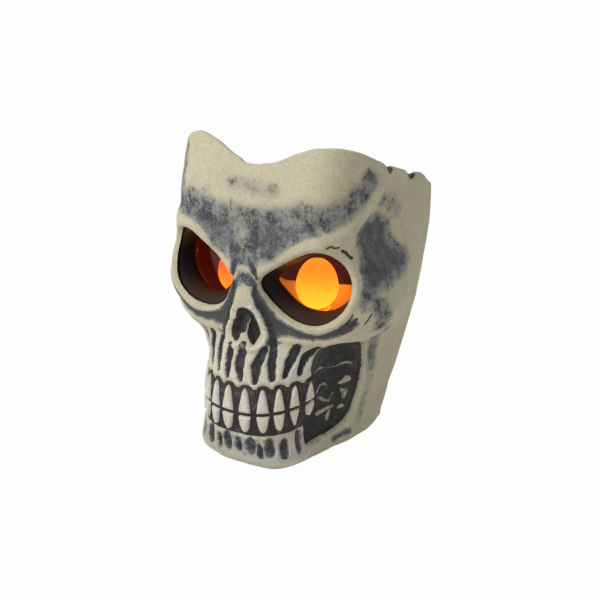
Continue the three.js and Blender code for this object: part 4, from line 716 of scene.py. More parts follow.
def eye_plane(points):
    """Wall points as q, b and h of the eye on their side."""
    x, y = np.abs(points[..., 0]) - EYE_X, points[..., 1] - EYE_Y
    return np.stack([x * EYE_COS + y * EYE_SIN, -x * EYE_SIN + y * EYE_COS, points[..., 2] - EYE_Z], axis=-1)


def eye_points(q, b, h, side):
    return np.stack([side * (EYE_X + q * EYE_COS - b * EYE_SIN), EYE_Y + q * EYE_SIN + b * EYE_COS,
                     EYE_Z + h], axis=-1)


eye_curves = {side: closed_curve(corners) for side, corners in EYE_OUTLINES.items()}
lens_curve = closed_curve(LENS_OUTLINE)


def eye_distance(points):
    """The distance to the eye outline, negative in the opening, and large at the back."""
    plane = eye_plane(points)
    near = (np.abs(plane[..., 0]) < 70) & (np.abs(plane[..., 2]) < 60) & (plane[..., 1] < 45)
    result = np.full(points.shape[:-1], FAR)
    for side, curve in eye_curves.items():
        here = near & ((points[..., 0] >= 0) == (side > 0))
        result[here] = area_distance(curve, plane[here][:, [0, 2]])
    return result


# A low ring lies round each opening, and the edges at the foot and along the wall are rolled.
EYE_ROLL, FOOT_ROLL, WALL_ROLL = 2.6, 3.0, 1.6
eye_gap = eye_distance(skin)
relief += 1.1 * bump(np.abs(eye_gap - 3.6), 4.2)
relief -= rounded(Z, FOOT_ROLL) + rounded(-skin[..., 1], WALL_ROLL)
print("points in the eye openings:", (eye_gap < 0).sum())

# %% [markdown]
# Wash and ink are now painted from the same drawing. One wash stroke, along the far edge of the
# top, is painted shade. Light strokes are wiped out of the wash afterwards, as the painter does
# with a dry brush of bone over the ridges.

# %% Where the paint lies
FOREHEAD = [(0, 194), (14, 194), (34, 196), (49, 201), (65, 199), (79, 203), (89, 209), (99, 216), (101, 222)]
GLABELLA = [
    (0, 193), (34, 195), (58, 196), (62, 188.5), (48, 183.5), (42, 178.5), (28, 168.5), (21, 165.5),
    (15, 163), (8, 156), (0, 159)]
BESIDE_NOSE = [
    (0, 166), (8, 160), (13, 152), (14, 146), (13, 140), (15, 131), (22, 120), (30, 113), (37, 107),
    (31, 101), (24, 97), (19, 97), (18, 106), (16, 113), (13, 121), (9, 127), (6, 132), (2, 141), (0, 146)]
UNDER_EYE = [(13, 140), (15, 128), (21, 118), (31, 111.5), (44, 110), (58, 111), (69, 114), (79, 121.5)]
TEMPLE_TOP = [(121, 206), (134, 201), (142, 195)]
CHEEK_SIDE = [(97, 135), (103, 125), (102, 112), (122, 100), (138, 88), (141, 77), (147, 64)]
BRIDGE = [
    (0, 143), (0, 139), (-1, 136), (-4, 132.5), (-10, 126), (-5, 123), (-1, 127), (1, 128), (5, 127),
    (8.5, 128), (5, 131), (2.5, 135), (2.8, 139), (2.5, 143)]
BROW_FOLD = [(12, 172), (14.5, 166), (13, 158)]
BEHIND_JAW = [(147, 64), (148, 50), (148, 32), (139, 20)]
BY_NOSE = [(6, 142), (5, 137), (11, 131), (15, 124), (19, 116), (22, 107), (25, 99)]
# Painted shade: a grey stroke along the far side of the top edge, where that side turns away from the light.
FAR_EDGE_PAINTED_SHADE = [(-72, 236), (-67, 220), (-62, 209)]
HIGH_SMEAR = [(-14, 219), (0, 217), (14, 215), (26, 216)]
JAW_SMEAR = [(101, 14), (106, 15), (114, 15), (124, 12.5)]

# A dab has its strength, its line, half its width and the softness of its edge. A patch has
# its strength, its outline and the softness of its edge.
WASH_AND_SHADE_DABS = [
    (0.92, FOREHEAD, 9, 7), (1.52, UNDER_EYE, 4.2, 2.4), (0.55, TEMPLE_TOP, 7, 6), (0.86, CHEEK_SIDE, 7, 6),
    (0.4, BEHIND_JAW, 8, 7), (0.5, HIGH_SMEAR, 5, 5, flat), (0.8, FAR_EDGE_PAINTED_SHADE, 4, 3.5, flat),
    (1.55, JAW_SMEAR, 2.8, 2.4)]
WASH_PATCHES = [(1.3, GLABELLA, 5), (1.55, BESIDE_NOSE, 2.2), (1.36, TEMPLE, 7)]
WASH_LIMIT = 1.6
wash_and_shade_layers = [strength * stroke(*dab) for strength, *dab in WASH_AND_SHADE_DABS]
wash_and_shade_layers += [strength * area(*patch) for strength, *patch in WASH_PATCHES]
wash_and_shade_layers += [0.36 * soft(hollow, 6, 0), 1.6 * soft(slots, 0.25, 0.7), 1.35 * soft(chin_slots, 0.12, 0.6),
                0.4 * chin_roll * soft(Z, 8, 16)]
orbit_width = 2.8 + 3.4 * soft(eye_plane(skin)[..., 0], -24, 16)
light = highest([
    brow_light, nasion, area(BRIDGE, 1.2, flat), 0.5 * stroke(BROW_FOLD, 1.6, 1.6),
    0.95 * (1 - soft(eye_gap, orbit_width - 1, orbit_width + 1)), 0.95 * soft(nose_rim, 0.08, 0.35),
    stroke(CHEEKBONE, 2.4, 1.6), 0.8 * gum_roll * (1 - soft(slots, 0.2, 0.6))])
wash_and_shade_paint = np.clip(highest(wash_and_shade_layers) * (1 - 0.92 * light), 0, WASH_LIMIT)

in_hollow = (1 - soft(hollow, -1.6, 0.8)) * (1 - 0.8 * molars) * (1 - 0.7 * molar_gum) * (1 - tooth)
in_nose = (1 - soft(nose, -1.2, 0.6)) * (1 - 0.55 * septum)
ink_layers = [teeth_ink, in_hollow, in_nose, cracks, 0.57 * stroke(BY_NOSE, 3.4, 2.5)]
for middle, reach, deep in CHIPS:
    near_chip = np.hypot((S - middle) / (reach * 0.9), (Z - top) / (deep + 2.2))
    ink_layers.append(0.8 * (1 - soft(near_chip, 0.6, 1.15)))
ink_paint = highest(ink_layers)
high_paint = highest([0.75 * tooth, 0.5 * gum_roll, 0.5 * chin_roll, 0.6 * soft(nose_rim, 0.1, 0.6)])
print("painted share: wash", (wash_and_shade_paint > 0.5).mean().round(3), "ink", (ink_paint > 0.5).mean().round(3))

# %% [markdown]
# The relief moves each point along the true normal of the form. Inside, the wall keeps clear
# of the deep places of the face: the nose, the hollow cheek and the fold under the eyes.

# %% Relief on the skin, and the inside
normal = np.cross(np.gradient(skin, axis=1), np.gradient(skin, axis=0))
normal /= np.linalg.norm(normal, axis=-1, keepdims=True)
outer = skin + normal * relief[..., None]
outer[..., 1] = np.minimum(outer[..., 1], 0)
outer[:, [0, -1], 1] = 0
outer[0, :, 2] = 0
outer[..., 2] = np.maximum(outer[..., 2], 0)


def inside_room(share, z):
    """How much further in the inside lies, behind the deep places of the face."""
    drawn = np.stack([share * DRAWN_HALF, z], axis=-1)
    room = 7 * (1 - soft(area_distance(NOSE, drawn), 0, 9)) + 4 * bump(np.abs(z - 100), 20)
    return room + 2.6 * (1 - soft(area_distance(HOLLOW, np.abs(drawn)) - 6, -3.2, 0.6))


RIM_WALL, SHELL_WALL, FLOOR = 4.4, 3.2, 3.2
INNER_ROWS, ARC_ROWS = 44, 7
fall = np.linspace(0, 1, INNER_ROWS)[:, None] ** 0.9
inner_z = (top - RIM_ROUND) + fall * (FLOOR - (top - RIM_ROUND))
inner_share = np.repeat(share[None, :], INNER_ROWS, axis=0)
inset = SHELL_WALL + (RIM_WALL - SHELL_WALL) * soft(inner_z, top - 28, top - 3)
inner = form(inner_share, inner_z, inset + inside_room(inner_share, inner_z))
arc = np.linspace(0, math.pi, ARC_ROWS + 2)[1:-1, None, None]
middle = (outer[-1] + inner[0]) / 2
half_wall = (outer[-1] - inner[0]) / 2
over = middle + half_wall * np.cos(arc) + np.array([0, 0, 1]) * RIM_ROUND * np.sin(arc)
over[..., 1] = np.minimum(over[..., 1], 0)
for ring in (over, inner):
    ring[:, [0, -1], 1] = 0
sheet = np.vstack([outer, over, inner])
outer_rows, sheet_rows, wide = len(outer), len(sheet), len(columns)
points = sheet.reshape(-1, 3)
paints = {name: np.vstack([paint, np.repeat(paint[-1:], ARC_ROWS, 0), np.zeros(inner_share.shape)]).ravel()
          for name, paint in (("ink", ink_paint), ("wash_and_shade", wash_and_shade_paint), ("high", high_paint))}
print("shell grid:", sheet.shape)

# %% [markdown]
# Faces that the eye outline crosses are trimmed along it, so the openings have clean edges
# instead of a saw edge of grid squares.

# %% Trim the faces along the eye outline
def grid_quads(index):
    """The corners of every square of a grid of point numbers."""
    corners = [index[:-1, :-1], index[:-1, 1:], index[1:, 1:], index[1:, :-1]]
    return np.stack(corners, axis=-1).reshape(-1, 4)


def trimmed(points, gap, quads):
    """Quads cut along the line where the gap is zero, keeping its positive side."""
    new_points, edge_points, faces, kept = [], {}, [], []
    for number, quad in enumerate(quads.tolist()):
        keep = [gap[corner] > 0 for corner in quad]
        if not any(keep):
            continue
        face = []
        for k in range(4):
            a, b = quad[k], quad[(k + 1) % 4]
            if keep[k]:
                face.append(a)
            if keep[k] != keep[(k + 1) % 4]:
                key = (min(a, b), max(a, b))
                if key not in edge_points:
                    edge_points[key] = len(points) + len(new_points)
                    new_points.append(points[a] + gap[a] / (gap[a] - gap[b]) * (points[b] - points[a]))
                face.append(edge_points[key])
        faces.append(face)
        kept.append(number)
    return np.vstack([points, np.reshape(new_points, (-1, points.shape[1]))]), faces, kept, edge_points


INNER_GAP = 0.4
gap_all = np.vstack([eye_gap, np.full((ARC_ROWS, wide), FAR), eye_distance(inner) - INNER_GAP]).ravel()
index = np.arange(sheet_rows * wide).reshape(sheet_rows, wide)
normals = np.vstack([normal, np.zeros((sheet_rows - outer_rows, wide, 3))]).reshape(-1, 3)
placed, faces, kept, edge_points = trimmed(np.hstack([points, normals]), gap_all, grid_quads(index))
roll = rounded(np.r_[gap_all, np.zeros(len(edge_points))], EYE_ROLL)
points = placed[:, :3] - placed[:, 3:] * roll[:, None]
face_finish = [int(number // (wide - 1) >= outer_rows + ARC_ROWS - 1) for number in kept]
print("trimmed points:", len(edge_points), "faces:", len(faces))

# %% [markdown]
# Each opening has an outer edge on the skin and an inner one on the inside of the wall. The
# two loops of points are put in order round the eye and zipped together, which gives the
# opening its thickness. The foot, the floor inside and the flat back edge close the shell.

# %% Close the eye openings, the foot and the back edge
first_inner = (outer_rows + ARC_ROWS) * wide


def round_eye(ids):
    """The points of a loop in order of their angle round the eye, with the angles."""
    plane = eye_plane(points[ids])
    angle = np.arctan2(plane[:, 2], plane[:, 0])
    order = np.argsort(angle)
    return np.asarray(ids)[order], angle[order]


def zip_loops(one, one_angle, two, two_angle):
    """Triangles between two loops, each in order of its angle."""
    result, i, j = [], 0, 0
    while i < len(one) or j < len(two):
        next_one = one_angle[i % len(one)] + 2 * math.pi * (i // len(one))
        next_two = two_angle[j % len(two)] + 2 * math.pi * (j // len(two))
        a, b = one[i % len(one)], two[j % len(two)]
        if i < len(one) and (j >= len(two) or next_one <= next_two):
            result.append([a, one[(i + 1) % len(one)], b])
            i += 1
        else:
            result.append([a, two[(j + 1) % len(two)], b])
            j += 1
    return result


BONE, INSIDE, SOCKET = 0, 1, 2
eye_loops = {}
for side, _ in SIDES:
    loops = []
    for is_outer in (True, False):
        loops.append(round_eye([i for (a, b), i in edge_points.items()
                                if (max(a, b) < first_inner) == is_outer and points[i][0] * side > 0]))
    eye_loops[side] = loops[0]
    edge_faces = zip_loops(*loops[0], *loops[1])
    faces += [face if side < 0 else face[::-1] for face in edge_faces]
    face_finish += [SOCKET] * len(edge_faces)
    print("eye opening", side, "loop points", [len(ids) for ids, _ in loops])

foot, floor_inside = index[0, ::-1], index[-1]
back_edge = np.r_[index[:, -1], index[::-1, 0]]
faces += [foot, floor_inside, back_edge]
face_finish += [INSIDE, INSIDE, BONE]

shell = moulding("skull_shell_painted", points, faces, [bone, dark_vinyl, socket])
shell.data.polygons.foreach_set("material_index", face_finish)
for k in (-1, -2, -3):
    shell.data.polygons[len(faces) + k].use_smooth = False
for name, values in paints.items():
    values = np.r_[values, np.zeros(len(edge_points))]
    shell.data.attributes.new(name, "FLOAT", "POINT").data.foreach_set("value", values)
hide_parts("skull_shell")
print("shell:", len(points), "points", len(faces), "faces")

# %% [markdown]
# The lamps hang inside on white brackets. The bulb is a frosted egg that is bright and yellow
# below, where the light sits, and deeper orange above. The lens in front is clear amber, with a
# dim red glow painted on for the lamplight that it scatters.

# %% Amber lens and lit bulb
# The lens is no lamp: its dim red emission is painted light, for the lamplight that it scatters.
amber_painted_glow, tree = finish("polycarbonate_clear_amber_painted_glow")
cloud = noise(tree, 12)
shade(tree, {
    "Base Color": mix(tree, cloud, "#FF9024", "#FF861C"), "Roughness": between(tree, cloud, 0.02, 0.06),
    "IOR": 1.2, "Transmission Weight": 1.0, "Emission Color": hex_colour("#530C05"),
    "Emission Strength": 0.22})


def lit_glass(name, foot_colour, top_colour, foot_power, top_power):
    """Frosted glass with a light under it: its colour and power change from foot to top."""
    material, tree = finish(name)
    up = ramp(tree, along(tree, "Z"), 0.124, 0.156)
    frost = between(tree, noise(tree, 4, 3), 0.94, 1.06)
    shade(tree, {
        "Base Color": hex_colour("#E8D9B8"), "Roughness": 0.5, "IOR": 1.5,
        "Emission Color": mix(tree, up, foot_colour, top_colour),
        "Emission Strength": calc(tree, "MULTIPLY", between(tree, up, foot_power, top_power), frost)})
    return material


# The right lamp burns lower in the photograph, so its glass is redder towards the top.
lit_glasses = {
    1: lit_glass("frosted_glass_lit_from_below", "#FFF8DC", "#FFF0CC", 2.7, 1.2),
    -1: lit_glass("frosted_glass_lit_low", "#FFE19A", "#FF8A2C", 1.7, 0.8)}
print("lit glasses:", len(lit_glasses))

# %% [markdown]
# A socket cup is a black funnel behind each opening: it starts just under the skin and draws
# in to the lens. It is lofted through rings, down the inside, out over the flange and back up
# the outside, so that it has a real wall.

# %% Socket cups
CUP_DEPTH, CUP_WALL, CUP_MOUTH = 15.0, 1.8, 0.6
CUP_FLANGE, FLANGE_THICK = 7.0, 2.4
UNDER_SKIN = 2.4


def loft(rings, closed):
    """Faces between rings of the same count, closed from the last to the first if asked."""
    count, size = len(rings), len(rings[0])
    result = []
    for r in range(count if closed else count - 1):
        a, b = r * size, (r + 1) % count * size
        result += [[a + k, a + (k + 1) % size, b + (k + 1) % size, b + k] for k in range(size)]
    return np.concatenate(rings), result


for side, name in SIDES:
    ids, angle = eye_loops[side]
    curve_angle = np.arctan2(eye_curves[side][:, 1], eye_curves[side][:, 0])
    mouth = grown(eye_curves[side], CUP_MOUTH)
    mouth_back = np.interp(curve_angle, angle, eye_plane(points[ids])[:, 1], period=2 * math.pi) + UNDER_SKIN

    def funnel(t, out=0.0, lift=0.0):
        """A ring at a share of the way from the mouth to the lens."""
        ring = grown(mouth + (lens_curve - mouth) * t ** 1.15, out)
        return ring, mouth_back + (CUP_DEPTH - mouth_back) * t ** 2.4 + lift

    flange = grown(lens_curve, CUP_FLANGE)
    rings = [funnel(t) for t in np.linspace(0, 1, 9)]
    rings += [(flange, CUP_DEPTH), (flange, CUP_DEPTH - FLANGE_THICK)]
    rings += [funnel(t, CUP_WALL, 0.6) for t in np.linspace(0.82, 0.06, 6)]
    cup_points, cup_faces = loft(
        [eye_points(r[:, 0], b * np.ones(len(r)), r[:, 1], side) for r, b in rings], True)
    if side > 0:
        cup_faces = [face[::-1] for face in cup_faces]
    cup = moulding("eye_cup_" + name + "_lofted", cup_points, cup_faces, [socket])
    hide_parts("eye_cup_" + name)
    print("cup", name, "mouth from", mouth_back.min().round(1), "to", mouth_back.max().round(1))

# %% [markdown]
# The bulb is turned on its own upright axis, like a lathe piece, from a short profile: a
# nearly closed round below its widest place and an ellipse above it.

# %% Bulbs
BULB_X, BULB_Y = 36.0, -96.0
BULB_FOOT, BULB_TOP, BULB_RADIUS = 120.6, 159.2, 16.0
BULB_WIDEST = 0.42
BULB_FOOT_CLOSED = 0.93


def capped(rings):
    """Points and faces of a solid between rings, with flat ends."""
    ring_points, ring_faces = loft(rings, False)
    count, size = len(rings[0]), len(ring_points)
    return ring_points, ring_faces + [list(range(count))[::-1], list(range(size - count, size))]


def turned(profile, count, centre):
    """A closed solid of revolution round an upright axis, from radius and height pairs."""
    angle = np.linspace(0, 2 * math.pi, count, endpoint=False)
    return capped([np.stack([centre[0] + r * np.cos(angle), centre[1] + r * np.sin(angle),
                             np.full(count, h)], axis=-1) for r, h in profile])


steps = np.linspace(0, 1, 25)
from_widest = np.where(
    steps < BULB_WIDEST, ((BULB_WIDEST - steps) / BULB_WIDEST) ** 2 * BULB_FOOT_CLOSED,
    ((steps - BULB_WIDEST) / (1 - BULB_WIDEST)) ** 2)
radii = np.maximum(np.sqrt(np.clip(1 - from_widest, 0, 1)), 0.02) * BULB_RADIUS
profile = list(zip(radii, BULB_FOOT + steps * (BULB_TOP - BULB_FOOT)))
for side, name in SIDES:
    bulb = moulding("lamp_bulb_" + name + "_frosted", *turned(profile, 56, (side * BULB_X, BULB_Y)),
                    [lit_glasses[side]])
    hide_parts("lamp_bulb_" + name)
    print("bulb", name, len(bulb.data.vertices), "points")

# %% [markdown]
# The remaining parts are right as packed and only need their finish. Moulded plastic has the
# fine grain of a spark-eroded tool, which breaks its gloss, and zinc plate is bright with fine
# scratches. The bar is white, and the light that a lamp throws on it close in front is painted on as a glow.

# %% Finishes of the imported parts
def moulded_plastic(name, dark, pale, rough, grain_mm, print_colour=None, relief=0.2):
    """A moulded plastic with a fine spark-eroded grain, slight tone changes and printed marks."""
    material, tree = finish(name)
    fine = noise(tree, grain_mm)
    colour = mix(tree, noise(tree, 18, 3), dark, pale)
    if print_colour:
        colour = mix(tree, stored(tree, "mark"), colour, print_colour)
    shade(tree, {
        "Base Color": colour, "Roughness": between(tree, fine, *rough),
        "Normal": dents(tree, fine, relief, 0.5), "IOR": 1.53})
    return material


BLACK_GRAIN = ("#1B1B1C", "#262627", (0.45, 0.68), 1.1)
WHITE = ("#F1ECE0", "#E4DED0")
black_abs = moulded_plastic("abs_black_spark_grain", *BLACK_GRAIN)
printed_abs = moulded_plastic("abs_black_spark_grain_printed", *BLACK_GRAIN, "#CFCDC6")
white_styrene = moulded_plastic("polystyrene_white_moulded", *WHITE, (0.3, 0.45), 2.0)
board_mask = moulded_plastic("fibreglass_board_green_mask", "#1E5A34", "#17482A", (0.25, 0.4), 1.6)
clear_epoxy = moulded_plastic("epoxy_clear_led", "#F2ECD2", "#E6DCB8", (0.08, 0.16), 3.0, relief=0.02)
red_pvc = moulded_plastic("pvc_dark_red_wire_cover", "#4A1512", "#3A100E", (0.4, 0.55), 1.5)
film_jacket = moulded_plastic("shrink_film_dark_grey", "#33413D", "#3D4C47", (0.22, 0.32), 6.0, relief=0.03)

zinc, tree = finish("steel_zinc_plated")
scratch = noise(tree, 1.4, 4, distortion=1.2)
shade(tree, {
    "Base Color": mix(tree, scratch, "#C3C6C9", "#9DA2A6"), "Metallic": 1.0,
    "Roughness": between(tree, scratch, 0.22, 0.45)})

# Painted light: the bar is given an emission that is strongest nearest a lamp, for the light that the lamps
# throw on it.
bar_painted_lamp_light, tree = finish("polystyrene_white_painted_lamp_light")
mirrored_place = add(tree, "VectorMath", {0: place(tree)}, operation="ABSOLUTE").outputs["Vector"]
lamp_middle = (BULB_X * MM, abs(BULB_Y + WALL_Y) * MM, 0.132)
from_lamp = add(tree, "VectorMath", {0: mirrored_place, 1: lamp_middle}, operation="DISTANCE")
shade(tree, {
    "Base Color": mix(tree, noise(tree, 14, 3), *WHITE), "Roughness": 0.4, "IOR": 1.59,
    "Emission Color": hex_colour("#FFE9C0"),
    "Emission Strength": ramp(tree, from_lamp.outputs["Value"], 0.012, 0.045, 0.55, 0.0)})

FINISHED_PARTS = [
    (amber_painted_glow, ["eye_lens"]), (bar_painted_lamp_light, ["lamp_bar"]), (white_styrene, ["lamp_holder"]),
    (board_mask, ["led_board"]), (clear_epoxy, ["led_left", "led_right"]), (film_jacket, ["cell"]),
    (red_pvc, ["lamp_lead", "battery_lead"]),
    (black_abs, ["lens_ring", "back_panel", "battery_box", "battery_door", "switch_body", "switch_knob"]),
    (zinc, ["lens_screw", "bar_screw", "holder_screw", "panel_screw", "box_screw", "contact", "door_screw",
            "hinge_pin", "switch_screw"])]
for material, parts in FINISHED_PARTS:
    nodes = [node for name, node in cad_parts.items() if name.startswith(tuple(parts))]
    for node in nodes:
        if not node.material_slots:
            node.data.materials.append(material)
        for slot in node.material_slots:
            slot.material = material
    print(material.name, "on", len(nodes), "packed parts")

# %% [markdown]
# The back is what a hand meets when the skull comes off the wall, so its pieces are moulded
# here with round edges, grips and recesses. A plate is a grid of points with a depth at each,
# trimmed along its outline and closed by a front face and walls. It could also be cut from a
# block with many tools, but the grid gives even faces and any relief at once.

# %% Plates
def wall_box(node_name):
    """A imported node's lowest and highest corners, as wall points in millimetres."""
    return [np.array(corner) / MM - [0, WALL_Y, 0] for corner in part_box(node_name)]


def box_gap(x, z, low, high):
    """The distance to an upright rectangle, negative inside it."""
    out = np.stack([np.maximum(low[0] - x, x - high[0]), np.maximum(low[1] - z, z - high[1])])
    return np.hypot(*np.maximum(out, 0)) + np.minimum(out.max(axis=0), 0)


def steps_of(low, high, step, *closer):
    """Values from low to high, with closer steps on some stretches of start, end and step."""
    values = list(np.linspace(low, high, round((high - low) / step) + 1))
    for start, end, close in closer:
        values = [v for v in values if v < start - close or v > end + close]
        values += list(np.linspace(start, end, round((end - start) / close) + 1))
    return np.array(sorted(values))


def plate(xs, zs, gap_at, rear_at, front_at):
    """Points and faces of a plate before the wall, kept where its gap is positive."""
    x, z = np.meshgrid(xs, zs)
    gap = gap_at(x, z)
    quads = grid_quads(np.arange(x.size).reshape(x.shape))[:, [0, 3, 2, 1]]
    grid = np.stack([x, rear_at(x, z, gap), z], axis=-1).reshape(-1, 3)
    rear, faces, _, _ = trimmed(grid, gap.ravel(), quads)
    used, compact = np.unique(np.concatenate(faces), return_inverse=True)
    ends = np.cumsum([len(face) for face in faces])
    faces = [part.tolist() for part in np.split(compact, ends[:-1])]
    rear = rear[used]
    front = np.stack([rear[:, 0], front_at(rear[:, 0], rear[:, 2]), rear[:, 2]], axis=-1)
    edges = {(a, b) for face in faces for a, b in zip(face, face[1:] + face[:1])}
    count = len(rear)
    walls = [[b, a, a + count, b + count] for a, b in sorted(edges) if (b, a) not in edges]
    return np.vstack([rear, front]), faces + [[i + count for i in face[::-1]] for face in faces] + walls


def together(*bodies):
    """Several bodies of points and faces as one."""
    starts = np.cumsum([0] + [len(body_points) for body_points, _ in bodies])
    faces = [[i + int(start) for i in face] for start, (_, part) in zip(starts, bodies) for face in part]
    return np.vstack([body_points for body_points, _ in bodies]), faces


SHARP_ANGLE = math.radians(38)


def back_piece(node_name, body, solid, materials):
    """A moulded piece in place of a packed one, smooth but for its sharp edges."""
    piece = moulding(node_name + "_moulded", *solid, materials, body)
    piece.data.set_sharp_from_angle(angle=SHARP_ANGLE)
    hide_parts(node_name)
    print(node_name, len(solid[0]), "points", len(solid[1]), "faces")
    return piece


# %% [markdown]
# The battery door is a thin lid on a barrel hinge. It has a round edge, a shallow frame, an
# arrow and grip grooves on both sides of its screw, and stiffening ribs inside.

# %% Battery door
SCREW_HOLE = 3.1
HINGE_RADIUS, PIN_HOLE, BARREL_ROUND = 2.4, 1.2, 0.3
LUG = 5.3
PANEL_THICK, DOOR_SUNK, DOOR_ROUND = 3.0, 0.3, 0.8
GRIP_PITCH, RIB_PITCH_X, RIB_PITCH_Z = 2.4, 10.4, 10.5
door_low, door_high = wall_box("battery_door")
hinge_x, hinge_y = door_high[0] - HINGE_RADIUS, door_low[1] + HINGE_RADIUS
panel_front = wall_box("back_panel")[1][1] - PANEL_THICK
door_middle = (door_low[2] + door_high[2]) / 2
door_screw_x = np.mean(wall_box("door_screw"), axis=0)[0]
lug_edge = hinge_x - HINGE_RADIUS - 0.6


def door_gap(x, z):
    lugs = np.minimum(*(box_gap(x, z, (lug_edge, foot), (hinge_x + 9, foot + 2 * LUG))
                        for foot in (door_low[2] - LUG, door_high[2] - LUG)))
    plain = -box_gap(x, z, (door_low[0], door_low[2]), (hinge_x, door_high[2]))
    return np.minimum.reduce([plain, lugs, np.hypot(x - door_screw_x, z - door_middle) - SCREW_HOLE])


def door_rear_at(x, z, gap):
    frame_line = bump(np.abs(gap - 3.2), 0.9) * soft(x, hinge_x - 6, hinge_x - 10)
    corners = [(-19, door_middle), (-12, door_middle + 4.6), (-12, door_middle - 4.6)]
    arrow = 1 - soft(area_distance(corners, np.stack([x, z], axis=-1)), -0.5, 0.1)
    aside = np.abs(z - door_middle)
    grip = sum(bump(np.abs(x - door_screw_x - k * GRIP_PITCH), 0.95) for k in (-0.5, 0.5, 1.5))
    grip = grip * soft(aside, 7, 8.2) * soft(aside, 20, 18.8)
    return -DOOR_SUNK - rounded(gap, DOOR_ROUND) - 0.4 * frame_line - 0.4 * arrow - 0.6 * grip


def door_front_at(x, z):
    ribs = np.maximum(bump(np.abs((x + 34) % RIB_PITCH_X - 5.2), 1.3),
                      bump(np.abs((z - door_low[2]) % RIB_PITCH_Z - 5.2), 1.3))
    return panel_front + 0.9 * soft(door_gap(x, z), 1.4, 2.2) * (1 - soft(ribs, 0.1, 0.5))


def barrel(foot, top_end):
    """A hinge knuckle round the pin, with a small round at each end."""
    inner_edge = HINGE_RADIUS - BARREL_ROUND
    profile = [(PIN_HOLE, foot), (inner_edge, foot), (HINGE_RADIUS, foot + BARREL_ROUND),
               (HINGE_RADIUS, top_end - BARREL_ROUND), (inner_edge, top_end), (PIN_HOLE, top_end)]
    return turned(profile, 28, (hinge_x, hinge_y))


door_plate = plate(steps_of(door_low[0], hinge_x, 0.8, (door_screw_x - 4, door_screw_x + 6, 0.4)),
                   steps_of(door_low[2], door_high[2], 0.8), door_gap, door_rear_at, door_front_at)
door_solid = together(door_plate, barrel(door_low[2] + LUG, door_high[2] - LUG))
back_piece("battery_door", "battery_door", door_solid, [black_abs])

# %% [markdown]
# The panel follows the inside of the shell with a small gap. Its middle is sunk a little, so
# only the border, the screw seats and the edges of the openings touch the wall. Beside the
# switch, the usual line for on and ring for off are sunk and filled with pale paint.

# %% Back panel
PANEL_INSET, PANEL_ROUND, PANEL_SUNK, MARK_DEEP = 3.7, 0.7, 0.6, 0.25
PANEL_TOP, PANEL_FOOT = 198.0, 3.7
KEYHOLE_Z, KEYHOLE_HEAD, KEYHOLE_HALF, KEYHOLE_LENGTH = 172.0, 4.6, 2.4, 10.0
SWITCH_Z, SLOT_HALF, SLOT_HIGH = 126.0, 4.3, 2.3
ON_X, OFF_X, MARK_Z = 3.4, -3.4, 132.6
DOOR_ROOM, HINGE_ROOM = 0.5, 3.5
BACK_SCREWS = ["panel_screw_%d" % k for k in range(1, 7)] + [
    "box_screw_1", "box_screw_2", "switch_screw_left", "switch_screw_right"]
screw_places = [np.mean(wall_box(name), axis=0)[[0, 2]] for name in BACK_SCREWS]
panel_zs = steps_of(PANEL_FOOT, PANEL_TOP, 1.2, (118, 138, 0.3), (165, 184, 0.6))
wall_edge = np.ones(len(panel_zs))
panel_half = form(wall_edge, panel_zs, PANEL_INSET + inside_room(wall_edge, panel_zs))[:, 0]


def border_gap(x, z):
    return np.minimum.reduce([np.interp(z, panel_zs, panel_half) - np.abs(x), z - PANEL_FOOT, PANEL_TOP - z])


def opening_gap(x, z):
    keyhole = np.minimum(np.hypot(x, z - KEYHOLE_Z) - KEYHOLE_HEAD, box_gap(
        x, z, (-KEYHOLE_HALF, KEYHOLE_Z), (KEYHOLE_HALF, KEYHOLE_Z + KEYHOLE_LENGTH)))
    door = box_gap(x, z, (door_low[0] - DOOR_ROOM, door_low[2] - DOOR_ROOM),
                   (hinge_x + HINGE_ROOM, door_high[2] + DOOR_ROOM))
    slot = box_gap(x, z, (-SLOT_HALF, SWITCH_Z - SLOT_HIGH), (SLOT_HALF, SWITCH_Z + SLOT_HIGH))
    return np.minimum.reduce([keyhole, door, slot])


def seat_gap(x, z):
    return np.minimum.reduce([np.hypot(x - a, z - b) - SCREW_HOLE for a, b in screw_places])


def panel_gap(x, z):
    return np.minimum.reduce([border_gap(x, z), opening_gap(x, z), seat_gap(x, z)])


def switch_marks(x, z):
    """One on the line for on and the ring for off."""
    line = np.hypot(x - ON_X, np.maximum(np.abs(z - MARK_Z) - 1.5, 0))
    ring = np.abs(np.hypot(x - OFF_X, z - MARK_Z) - 1.6)
    return 1 - soft(np.minimum(line, ring), 0.25, 0.55)


def panel_rear_at(x, z, gap):
    sunk_field = (soft(border_gap(x, z), 6.5, 7.7) * soft(opening_gap(x, z), 3.2, 4.2)
                  * soft(seat_gap(x, z), 2.0, 3.0))
    ribs = bump(np.abs(np.abs(x) - 44), 1.8) * soft(np.abs(z - 100), 84, 80)
    sunk = PANEL_SUNK * sunk_field * (1 - soft(ribs, 0.1, 0.7))
    return -rounded(gap, PANEL_ROUND) - sunk - MARK_DEEP * switch_marks(x, z)


def bar(section, foot, top_end):
    """An upright bar from a section of x and y corners."""
    return capped([np.array([(a, b, height) for a, b in section]) for height in (foot, top_end)])


panel_side = panel_half.max()
panel_xs = steps_of(-panel_side, panel_side, 1.2, (-7, 7, 0.3))
panel_plate = plate(panel_xs, panel_zs, panel_gap, panel_rear_at, lambda x, z: np.full(len(x), panel_front))

